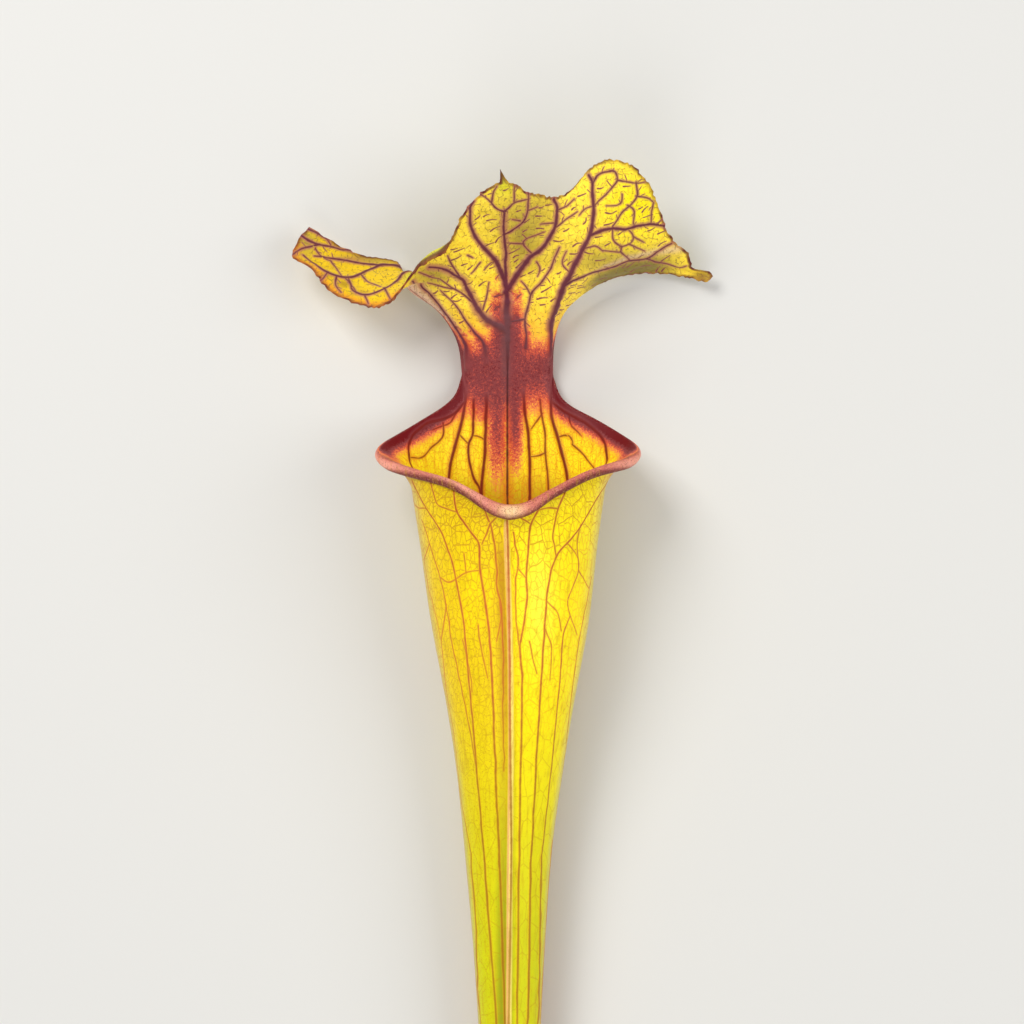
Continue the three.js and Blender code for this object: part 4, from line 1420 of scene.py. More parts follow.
@dataclass(frozen=True)
class LeafColours:
    """The colours of the living leaf, and the painted shade, sheen, highlight and glow colours that
    stand in for light on it.
    """

    tube_yellow: Colour = screen_colour(252, 226, 0)
    tube_gold: Colour = screen_colour(234, 200, 2)
    # A pale yellow painted as a pool of light on the tube's right front
    tube_painted_glow: Colour = screen_colour(255, 246, 70)
    tube_lime: Colour = screen_colour(200, 198, 2)
    stalk_green: Colour = screen_colour(150, 170, 40)
    stalk_foot: Colour = screen_colour(170, 165, 80)
    # A pale grey painted as sheen where the tube's sides turn away
    tube_side_sheen: Colour = screen_colour(188, 180, 112)
    tube_back: Colour = screen_colour(192, 194, 36)
    # A dark olive painted as shadow under the lip
    under_lip_shadow: Colour = screen_colour(160, 140, 10)
    keel_cream: Colour = screen_colour(252, 228, 124)
    keel_tan: Colour = screen_colour(230, 168, 104)
    # Olive-brown and dark green, painted as shade beside the wing
    wing_side_shade: Colour = screen_colour(170, 104, 14)
    wing_shade_green: Colour = screen_colour(112, 120, 14)
    throat_yellow: Colour = screen_colour(255, 232, 30)
    # A dark yellow painted as shade deep inside the tube
    throat_deep_shade: Colour = screen_colour(176, 146, 8)
    throat_orange: Colour = screen_colour(232, 122, 36)
    flush_orange: Colour = screen_colour(230, 128, 72)
    flush_red: Colour = screen_colour(198, 80, 62)
    flush_maroon: Colour = screen_colour(130, 58, 60)
    flush_dark: Colour = screen_colour(104, 8, 18)
    lid_yellow: Colour = screen_colour(255, 222, 60)
    # An olive painted as shade on the lid's middle, by its folds and at the lobe's end
    lid_olive_shade: Colour = screen_colour(158, 138, 56)
    window_gold: Colour = screen_colour(250, 196, 56)
    # A bright lemon painted as a pool of light on the right lobe
    lid_lit_yellow: Colour = screen_colour(255, 232, 0)
    lid_lime: Colour = screen_colour(210, 206, 40)
    lid_back: Colour = screen_colour(206, 200, 66)
    lobe_gold: Colour = screen_colour(240, 196, 0)
    # A pale pinkish cream painted as sheen on edges that curl away
    edge_sheen_cream: Colour = screen_colour(214, 176, 166)
    edge_orange: Colour = screen_colour(196, 104, 34)
    edge_maroon: Colour = screen_colour(88, 20, 30)
    # A grey-olive painted as shade on the band that turns from the light
    band_shade_grey: Colour = screen_colour(112, 102, 50)
    lip_pink: Colour = screen_colour(192, 92, 82)
    # A pale pink painted as highlight on the lip's roll
    lip_highlight: Colour = screen_colour(250, 178, 152)
    lip_cream: Colour = screen_colour(255, 216, 158)
    # The roll's dark maroon underside: its own colour deepened by painted shade
    lip_under_shade: Colour = screen_colour(84, 18, 24)
    lip_grain: Colour = screen_colour(112, 44, 48)
    cut_pale: Colour = screen_colour(206, 214, 140)
    cut_brown: Colour = screen_colour(150, 120, 60)
    vein_orange: Colour = screen_colour(190, 84, 40)
    vein_olive: Colour = screen_colour(156, 104, 4)
    vein_rust: Colour = screen_colour(158, 56, 28)
    vein_red: Colour = screen_colour(112, 20, 14)
    vein_purple: Colour = screen_colour(92, 34, 54)
    # A grey-lilac painted as sheen on the smooth neck's veins
    vein_sheen: Colour = screen_colour(106, 66, 68)
    vein_black: Colour = screen_colour(46, 16, 24)
    halo_red: Colour = screen_colour(206, 74, 24)
    halo_lilac: Colour = screen_colour(170, 104, 84)
    halo_tube: Colour = screen_colour(238, 178, 20)
    speck_neck: Colour = screen_colour(212, 96, 78)
    speck_throat: Colour = screen_colour(214, 100, 20)
    speck_lid: Colour = screen_colour(150, 116, 36)
    speck_tube: Colour = screen_colour(184, 138, 4)


class Wash:
    """A colour at every point of the skin, painted over in soft washes."""

    def __init__(self, count: int, colour: Colour, *washes: tuple[Colour, Array]) -> None:
        """Starts with one colour at each of a number of points, and lays the washes on it."""
        self.values = np.tile(np.array(colour, float), (count, 1))
        self.lay(*washes)

    def lay(self, *washes: tuple[Colour, Array]) -> None:
        """Mixes colours in, each by an amount from 0 to 1 at each point."""
        for colour, amount in washes:
            share = np.clip(amount, 0, 1)[:, None]
            self.values += share * (np.array(colour) - self.values)


@dataclass
class LeafPainter:
    """Works out the leaf's colours and pattern amounts at each point of its skin.

    Amounts ease from 0 to 1 by where a point lies. A pair of numbers gives a ramp's start and
    where it is full, and a spot gives its middle and its two reaches in the photograph.
    """

    skin: LeafSkin
    veins: VeinField
    colours: LeafColours = LeafColours()
    midrib: float = 507.0
    throat_heights: tuple = (225, 262)
    side_angles: tuple = (62, 100)
    roll_angles: tuple = (118, 98)
    # The flush: how far it climbs near a vein of the lid in pixels, and the vein's reach there
    climb: float = 16.0
    climb_reach: float = 0.9
    flush_depth: float = 0.94
    flush_sides: tuple = (10, 21)
    flush_tops: tuple = ((276, 346), (326, 366))
    flush_foot: tuple = (430, 374)
    # Its runs: depth, pixel across, reach, and pixels down of its start, full stretch and end
    flush_runs: tuple = (
        (0.5, 505, 16, 262, 322, 340, 372), (0.95, 515, 8, 350, 385, 420, 500),
        (0.85, 497, 10, 350, 380, 420, 520), (0.62, 484, 13, 372, 386, 400, 440),
    )
    # Dark zones along the free edge: depth and reach in millimetres
    collar: tuple = (1.7, 3.2)
    neck_edge: tuple = (0.7, 2.0)
    # Spots on the lid's inner face: colour, amount, pixel across and down, reaches. The olive ones
    # are painted shade and the bright yellow one a painted pool of light.
    lid_spots: tuple = (
        ("lid_olive_shade", 0.9, 522, 240, 17, 32), ("lid_olive_shade", 0.45, 512, 216, 34, 26),
        ("lid_olive_shade", 0.7, 604, 258, 54, 14), ("lid_olive_shade", 0.35, 542, 215, 18, 36),
        ("lid_lit_yellow", 0.9, 636, 206, 34, 32), ("lid_olive_shade", 0.85, 432, 274, 24, 12),
        ("lid_lime", 0.8, 504, 186, 12, 9),
    )
    # Spots on the outer face of the left lobe, and those that lie over its orange margin. The olive
    # ones are painted shade.
    lobe_spots: tuple = (
        ("lid_olive_shade", 0.8, 304, 242, 16, 18), ("lid_olive_shade", 0.8, 376, 259, 34, 7),
        ("halo_lilac", 0.6, 348, 260, 18, 3),
    )
    lobe_blots: tuple = (
        ("edge_maroon", 0.45, 328, 276, 9, 4), ("edge_maroon", 0.55, 344, 285, 9, 4),
        ("edge_maroon", 0.4, 362, 294, 9, 4),
    )
    # Spots on the lid's margin, at its apex and at the right lobe's tip
    margin_spots: tuple = (
        ("vein_black", 0.85, 501, 172, 4, 8), ("edge_maroon", 0.8, 703, 276, 11, 5),
    )
    # How dark the lid's free margin is, drawn at every second point of the edge
    edge_shades: tuple = (1, 0.75, 0.3)
    edge_seed: int = 5
    # The height above which the nets keep one scale
    net_top: float = 345.0

    def __post_init__(self) -> None:
        """Looks up where each point of the skin lies on the sheet."""
        skin, samples = self.skin, self.skin.samples
        of = skin.sample_of
        self.of = of
        self.count = len(of)
        self.across, self.down = samples.pixels[of].T
        self.turned = np.abs(samples.angle[of])
        self.height = samples.height[of]
        self.side = samples.side[of]
        self.share = samples.share[of]
        self.lid = samples.is_lid[of].astype(float)
        self.edge = samples.edge_distance[of]
        self.outer = smoothstep(-0.4, 0.4, skin.face)
        self.keel = skin.keel_across()[of]
        self.walk = skin.arc_walk
        self.on_rim = (skin.arc_walk >= 0) * (1 - self.lid * (self.share > 0))
        self.behind = np.maximum(smoothstep(*self.side_angles, self.turned), self.lid)
        self.lip = self.on_rim * smoothstep(0.02, 0.22, self.walk)
        self.high = smoothstep(*self.throat_heights, self.height)
        self.throat = self.behind * (1 - self.lid) * self.high
        self.flush = self.flush_amount()

    def spot(self, across: float, down: float, wide: float, high: float) -> Array:
        """Returns a soft spot round a pixel: e to minus the squared distance in its reaches."""
        return np.exp(-(((self.across - across) / wide) ** 2) - ((self.down - down) / high) ** 2)

    def band(self, across: float, wide: float) -> Array:
        """Returns a soft upright band round a pixel column."""
        return np.exp(-(((self.across - across) / wide) ** 2))

    def spots(self, table: tuple, where: Array | float = 1.0) -> list[tuple[Colour, Array]]:
        """Turns a table of spots into washes, each times the amount given for each point."""
        return [
            (getattr(self.colours, name), amount * self.spot(*reach) * where)
            for name, amount, *reach in table
        ]

    def flush_amount(self) -> Array:
        """Sums the red flush of the neck, its runs up the lid and down the throat.

        Near a vein of the lid the flush climbs further up.

        Returns:
            The flush at each point, 0 where there is none and 1 where it is maroon.
        """
        near = np.exp(-((self.veins.distance[self.of] / self.climb_reach) ** 2))
        down = self.down + self.climb * near * self.lid
        sideways = smoothstep(*self.flush_sides, np.abs(self.across - self.midrib))
        middle, beside = (smoothstep(*ramp, down) for ramp in self.flush_tops)
        top = (1 - sideways) * middle + sideways * beside
        neck = self.flush_depth * top * smoothstep(*self.flush_foot, down)
        runs = [
            depth * self.band(across, wide)
            * smoothstep(start, full, down) * smoothstep(end, fading, down)
            for depth, across, wide, start, full, fading, end in self.flush_runs
        ]
        total = neck + (1 - neck) * np.maximum.reduce(runs)
        depth, reach = self.collar
        collar = depth * np.exp(-((self.edge / reach) ** 2)) * smoothstep(80, 97, self.turned)
        total = np.maximum(total, collar * (1 - self.lid))
        depth, reach = self.neck_edge
        edges = depth * np.exp(-((self.edge / reach) ** 2)) * smoothstep(305, 345, down) * self.lid
        bare = np.maximum(self.lip * smoothstep(112, 96, self.turned), self.skin.cut_share >= 0)
        return (total + edges) * self.behind * (1 - 0.3 * self.outer) * (1 - bare)

    def tissue(self) -> Array:
        """Paints the tissue between the veins, on both faces and round the edges."""
        outside, within = self.paint_tube(), self.paint_throat()
        outside += self.lid[:, None] * (self.paint_lid_back() - outside)
        within += self.lid[:, None] * (self.paint_lid() - within)
        coat = Wash(self.count, self.colours.tube_yellow)
        coat.values = within + self.outer[:, None] * (outside - within)
        return self.paint_edges(coat).values

    def paint_tube(self) -> Array:
        """Paints the tube's outer face: yellow, greener down the stalk, with a cream wing, a
        painted glow on its right front, painted shadow under the lip, painted sheen down its sides
        and painted shade beside the wing.
        """
        c = self.colours
        down, height, front = self.down, self.height, 1 - self.behind
        # Painted shade in a strip beside the wing's left foot, olive-brown above and green below
        shade = smoothstep(-4.4, -2.0, self.keel) * smoothstep(-0.6, -1.1, self.keel)
        shade *= smoothstep(525, 565, down) * front
        cream = smoothstep(0.85, 0.55, np.abs(self.keel)) * smoothstep(515, 521, down) * front
        return Wash(
            self.count, c.tube_yellow,
            (c.tube_gold, 0.95 * smoothstep(520, 484, self.across)),
            (c.tube_yellow, 0.5 * self.spot(474, 590, 12, 50)),
            # Painted light: a pale glow on the right of the tube's front
            (c.tube_painted_glow, 0.7 * self.spot(538, 605, 16, 60)),
            (c.tube_lime, smoothstep(270, 170, height)),
            # Painted shadow on the tube's front just under the lip
            (c.under_lip_shadow, 0.3 * smoothstep(7, 1, self.edge) * front),
            # Painted sheen: pale grey down the tube's sides
            (c.tube_side_sheen, 0.75 * smoothstep(60, 84, self.turned)),
            (c.tube_back, smoothstep(92, 130, self.turned)),
            (c.stalk_green, smoothstep(135, 40, height)),
            (c.stalk_foot, smoothstep(22, 2, height)),
            (c.wing_side_shade, 0.7 * shade * smoothstep(200, 270, height)),
            (c.wing_shade_green, 0.65 * shade * smoothstep(250, 170, height)),
            (c.keel_cream, 0.85 * cream),
            (c.keel_tan, 0.8 * cream * smoothstep(-0.05, -0.25, self.keel)),
        ).values

    def paint_throat(self) -> Array:
        """Paints the tube's inner face: yellow, darker with painted shade deeper down the throat,
        and orange near the lip.
        """
        c = self.colours
        return Wash(
            self.count, c.throat_yellow,
            (c.window_gold, smoothstep(430, 400, self.down)),
            # Painted shade deeper down inside the tube
            (c.throat_deep_shade, smoothstep(464, 500, self.down) * 0.8),
            (c.tube_lime, smoothstep(255, 200, self.height)),
            (c.throat_orange, 0.5 * smoothstep(9, 2, self.edge)),
        ).values

    def paint_lid(self) -> Array:
        """Paints the lid's inner face. Its left curl and the right fold's ridge carry a painted
        pale sheen, its right band a painted grey shade, its middle and folds painted olive shade
        and its right lobe a painted pool of light.
        """
        c = self.colours
        # Painted sheen: pale cream on the left curl and along the right fold's ridge
        curl = smoothstep(-0.8, -0.94, self.side) * smoothstep(0.02, 0.14, self.share)
        # Painted shade: grey over the right band, where it curls back from the light
        band = smoothstep(0.84, 0.93, self.side) * smoothstep(0.4, 0.55, self.share)
        ridge = np.exp(-(((self.side - 0.85) / 0.022) ** 2)) * smoothstep(0.5, 0.62, self.share)
        return Wash(
            self.count, c.lid_yellow,
            (c.window_gold, smoothstep(292, 335, self.down)),
            *self.spots(self.lid_spots),
            (c.edge_sheen_cream, 0.85 * curl * smoothstep(0.72, 0.6, self.share)),
            (c.band_shade_grey, 0.9 * band * smoothstep(690, 650, self.across)),
            (c.edge_sheen_cream, 0.55 * ridge),
        ).values

    def paint_lid_back(self) -> Array:
        """Paints the lid's outer face, which the left lobe turns towards the camera."""
        c = self.colours
        on_lobe = smoothstep(415, 395, self.across)
        near = smoothstep(3, 0.5, self.edge)
        return Wash(
            self.count, c.lid_back,
            (c.lobe_gold, 0.9 * on_lobe),
            *self.spots(self.lobe_spots, on_lobe),
            (c.throat_orange, 0.55 * on_lobe * near * self.under_lobe()),
            *self.spots(self.lobe_blots, on_lobe),
        ).values

    def paint_edges(self, coat: Wash) -> Wash:
        """Paints the lip, the lid's margin and the cut end over the tissue, with a painted
        highlight along the lip, painted shade under its roll and a painted pale sheen on the neck's
        left edge.

        Args:
            coat: The tissue's colours.

        Returns:
            The same coat.
        """
        c = self.colours
        off_lid = 1 - self.lid
        fold = smoothstep(-0.6, -0.5, self.side) * smoothstep(-0.26, -0.34, self.side)
        fold = fold * smoothstep(1.5, 0.8, self.edge) * (self.share > 0.6)
        rolled = smoothstep(*self.roll_angles, self.turned)
        near = smoothstep(2.2, 0.3, self.edge) * (1 - self.outer) * off_lid
        tips = smoothstep(66, 86, self.turned) * smoothstep(100, 92, self.turned)
        # The light band is a painted highlight along the middle of the lip's roll, stronger left of
        # the notch and on its tips, with the notch's cream laid within it
        light = smoothstep(0.15, 0.4, self.walk) * smoothstep(0.75, 0.5, self.walk)
        light = light * self.lip * rolled
        coat.lay(
            (c.edge_maroon, 0.9 * fold * self.lid),
            (c.throat_orange, near * 0.7 * smoothstep(80, 60, self.turned)),
            (c.lip_pink, 0.8 * tips * smoothstep(6, 1, self.edge) * off_lid),
            (c.lip_pink, np.maximum(self.lip, near * 0.5) * np.maximum(rolled, 0.15)),
            (c.edge_maroon, self.lip * (1 - rolled)),
            (c.lip_highlight, 0.14 * light),
            (c.lip_highlight, 0.6 * light * self.spot(470, 490, 40, 18)),
            (c.lip_highlight, 0.65 * light * smoothstep(62, 84, self.turned)),
            (c.lip_cream, 0.95 * light * self.spot(511, 506, 10, 9)),
            # Dark maroon under the roll, its own colour and painted shade, and a thinner painted
            # shade along its inner edge
            (c.lip_under_shade, 0.9 * self.lip * smoothstep(0.48, 0.72, self.walk)),
            (c.lip_under_shade, 0.65 * self.lip * smoothstep(0.27, 0.12, self.walk)),
        )

        free = smoothstep(0.42, 0.6, self.share)
        on_lobe = smoothstep(430, 400, self.across)
        ragged = self.lid * smoothstep(0.6 + 0.6 * on_lobe, 0.1, self.edge) * free
        margin = self.lid * (self.walk >= 0) * (self.share > 0)
        margin = np.maximum(margin, self.lid * smoothstep(0.7, 0.3, self.edge))
        left_neck = (self.side < 0) * (self.down < 340)
        cut = self.skin.cut_share
        on_cut = (cut >= 0).astype(float)
        coat.lay(
            (c.edge_orange, (0.4 + 0.45 * on_lobe * self.under_lobe()) * ragged),
            (c.edge_maroon, margin * free * self.edge_darkness()),
            # Painted sheen: pale cream on the neck's left edge
            (c.edge_sheen_cream, 0.7 * margin * (1 - free) * left_neck),
            *self.spots(self.margin_spots, self.lid),
            (c.cut_pale, on_cut),
            (c.cut_brown, 0.6 * on_cut * smoothstep(0.86, 0.98, cut)),
        )
        return coat

    def under_lobe(self) -> Array:
        """Returns 0 along the left lobe's upper margin, easing to 1 along its lower one."""
        return smoothstep(-6, 6, self.down - 245 - 0.3 * (self.across - 300))

    def edge_darkness(self) -> Array:
        """Draws how dark the free edge is at random places round it, and reads it off."""
        places = np.arange(0, len(self.skin.edge), 2.0)
        shades = np.random.default_rng(self.edge_seed).choice(self.edge_shades, len(places))
        return np.interp(self.skin.edge_nearest[self.of], places, shades)

    def vein_colour(self) -> Array:
        """Paints the veins' colour by where they run, with a painted grey-lilac sheen on those up
        the lid's neck.
        """
        c = self.colours
        down, behind = self.down, self.behind
        # Where the neck's veins carry a painted sheen
        sheen_reach = self.lid * smoothstep(292, 318, down) * self.band(self.midrib, 30)
        in_neck = smoothstep(344, 366, down) * smoothstep(408, 388, down)
        groove = self.band(507.5, 3.5) * smoothstep(330, 372, down) * behind
        return Wash(
            self.count, c.vein_orange,
            (c.vein_olive, 0.95 * smoothstep(620, 820, down) * (1 - behind)),
            (c.vein_rust, 0.85 * smoothstep(600, 500, down)),
            (c.vein_rust, 0.5 * smoothstep(80, 110, self.turned)),
            (c.vein_red, behind * self.high * (1 - 0.4 * self.outer * (1 - self.lid))),
            (c.vein_purple, self.lid * smoothstep(372, 330, down)),
            (c.vein_sheen, 0.8 * sheen_reach),
            (c.flush_maroon, in_neck * behind),
            (c.vein_black, 0.85 * groove),
        ).values

    def halo_colour(self) -> Array:
        """Paints the stain along the veins, with a painted grey-lilac sheen beside those down the
        neck's middle.
        """
        c = self.colours
        down = self.down
        # Where the stain down the neck's middle carries a painted sheen
        sheen_reach = smoothstep(316, 335, down) * smoothstep(420, 396, down) * self.behind
        return Wash(
            self.count, c.halo_tube,
            (c.halo_red, self.behind * self.high),
            (c.halo_lilac, self.lid * smoothstep(350, 318, down)),
            (c.flush_maroon, smoothstep(0.5, 0.9, self.flush)),
            (c.vein_sheen, 0.8 * sheen_reach * self.band(503, 7)),
        ).values

    def speck_colour(self) -> Array:
        """Paints the mottling's colour."""
        c = self.colours
        flushed = smoothstep(0.25, 0.6, self.flush)
        return Wash(
            self.count, c.speck_tube,
            (c.speck_throat, self.throat),
            (c.speck_lid, self.lid),
            (c.speck_neck, flushed * smoothstep(450, 410, self.down)),
        ).values

    def amounts(self) -> Array:
        """Works out how much mottling, wide net and close net there is, in three columns."""
        throat = self.throat
        front = 1 - self.behind
        speck = 0.36 + 0.25 * throat + 0.1 * self.lid
        speck = speck + 0.25 * front * smoothstep(520, 480, self.across)
        speck = speck + 0.3 * front * smoothstep(14, 3, self.edge)
        under_lip = front * smoothstep(32, 8, self.edge)
        wide = 0.3 + 0.4 * under_lip
        close = 0.4 * smoothstep(190, 270, self.height) - 0.1 * throat + 0.2 * self.lid
        close += (0.2 * under_lip - 0.15 * smoothstep(500, 530, self.across)) * front
        calm = 1 - 0.75 * np.clip(self.flush, 0, 1)
        keep = self.bare_of_veins()
        return np.stack([
            speck * (1 - 0.6 * self.lip),
            wide * keep * (1 - 0.5 * self.lid) * calm,
            close * keep * calm,
        ], -1)

    def bare_of_veins(self) -> Array:
        """Returns 1 where the pattern shows, less on the wing and 0 on the lip and cut end."""
        keel = smoothstep(1.3, 0.9, np.abs(self.keel)) * (1 - self.behind)
        covered = np.maximum(self.lip, self.skin.cut_share >= 0)
        return (1 - covered) * (1 - 0.8 * keel)

    def stain_amount(self) -> Array:
        """Works out how strong the stain beside the veins is at each point."""
        return (0.35 + 0.15 * self.throat + 0.5 * self.lid) * self.bare_of_veins()

    def net_place(self) -> Array:
        """Unrolls the leaf for the fine nets: cells are long on the tube and even on the lid.

        The way across runs round the tube from its front, and back again behind its sides,
        where it meets the lid's. The way up is the height above the cut end times 0.62, plus
        what it gains on that above the throat.

        Returns:
            The places, in millimetres.
        """
        samples = self.skin.samples
        angle = samples.angle[self.of]
        half_width = self.skin.sheet.section(np.minimum(self.height, self.net_top))[:, 0]
        round_way = np.radians(np.minimum(np.abs(angle), 180 - np.abs(angle))) * np.sign(angle)
        across = np.where(self.lid > 0, samples.places[self.of, 0], half_width * round_way)
        bend = np.clip(self.height - self.net_top + 60, 0, 60)
        gain = 0.38 * (bend**2 / 120 + np.maximum(self.height - self.net_top, 0))
        return np.stack([across, 0.62 * self.height + gain, np.zeros(self.count)], -1)


# The material


class Signal:
    """A shader value, with the operators that the patterns use."""

    def __init__(self, graph: "Graph", socket: bpy.types.NodeSocket) -> None:
        """Wraps a socket of a node in the graph."""
        self.graph = graph
        self.socket = socket

    def __add__(self, other: "Signal | float") -> "Signal":
        """Adds."""
        return self.graph.maths("ADD", self, other)

    def __radd__(self, other: float) -> "Signal":
        """Adds, with the number on the left."""
        return self.graph.maths("ADD", other, self)

    def __sub__(self, other: "Signal | float") -> "Signal":
        """Subtracts."""
        return self.graph.maths("SUBTRACT", self, other)

    def __rsub__(self, other: float) -> "Signal":
        """Subtracts from a number."""
        return self.graph.maths("SUBTRACT", other, self)

    def __mul__(self, other: "Signal | float") -> "Signal":
        """Multiplies."""
        return self.graph.maths("MULTIPLY", self, other)

    def __rmul__(self, other: float) -> "Signal":
        """Multiplies, with the number on the left."""
        return self.graph.maths("MULTIPLY", other, self)


class Graph:
    """The node tree of one material."""

    def __init__(self, name: str) -> None:
        """Makes a material with an empty node tree."""
        self.material = bpy.data.materials.new(name)
        self.material.use_nodes = True
        self.tree = self.material.node_tree
        self.tree.nodes.clear()

    def node(
        self, kind: str, settings: dict | None = None, inputs: dict | None = None,
        output: int | str = 0,
    ) -> Signal:
        """Adds a node.

        Args:
            kind: The node's type, without its leading "ShaderNode".
            settings: Its properties, which are set first.
            inputs: Values or signals for its sockets, by name or number.
            output: The socket to return, by name or number.

        Returns:
            The chosen output.
        """
        node = self.tree.nodes.new("ShaderNode" + kind)
        for key, value in (settings or {}).items():
            setattr(node, key, value)
        for key, value in (inputs or {}).items():
            if isinstance(value, Signal):
                self.tree.links.new(value.socket, node.inputs[key])
            elif value is not None:
                node.inputs[key].default_value = value
        return Signal(self, node.outputs[output])

    def maths(self, operation: str, *values: "Signal | float") -> Signal:
        """Adds a Math node on two values or signals."""
        return self.node("Math", {"operation": operation}, dict(enumerate(values)))

    def step(self, value: Signal, low: "Signal | float", high: "Signal | float") -> Signal:
        """Eases from 0 where the value is at low to 1 where it is at high."""
        settings = {"interpolation_type": "SMOOTHSTEP"}
        return self.node("MapRange", settings, {"Value": value, "From Min": low, "From Max": high})

    def mix(
        self, amount: "Signal | float", first: "Signal | Colour", second: "Signal | Colour"
    ) -> Signal:
        """Mixes two colours, from the first at 0 to the second at 1."""
        pair = [(*c, 1) if isinstance(c, tuple) else c for c in (first, second)]
        inputs = {0: amount, 6: pair[0], 7: pair[1]}
        return self.node("Mix", {"data_type": "RGBA"}, inputs, 2)

    def vector(self, operation: str, inputs: dict, output: int | str = 0) -> Signal:
        """Adds a Vector Math node."""
        return self.node("VectorMath", {"operation": operation}, inputs, output)

    def attribute(self, name: str, output: str) -> Signal:
        """Reads one of the mesh's own attributes."""
        return self.node("Attribute", {"attribute_name": name}, {}, output)

    def parts(self, name: str) -> tuple[Signal, Signal, Signal]:
        """Reads a vector attribute's three numbers."""
        node = self.node("SeparateXYZ", {}, {0: self.attribute(name, "Vector")}).socket.node
        return tuple(Signal(self, socket) for socket in node.outputs)

    def noise(self, place: Signal, scale: float, detail: float, roughness: float = 0.5) -> Signal:
        """Adds a noise with so many features a millimetre."""
        inputs = {"Vector": place, "Scale": scale, "Detail": detail, "Roughness": roughness}
        return self.node("TexNoise", {}, inputs)

    def finish(self, shader: Signal) -> bpy.types.Material:
        """Joins a shader to the output and returns the material."""
        output = self.tree.nodes.new("ShaderNodeOutputMaterial")
        self.tree.links.new(shader.socket, output.inputs["Surface"])
        return self.material


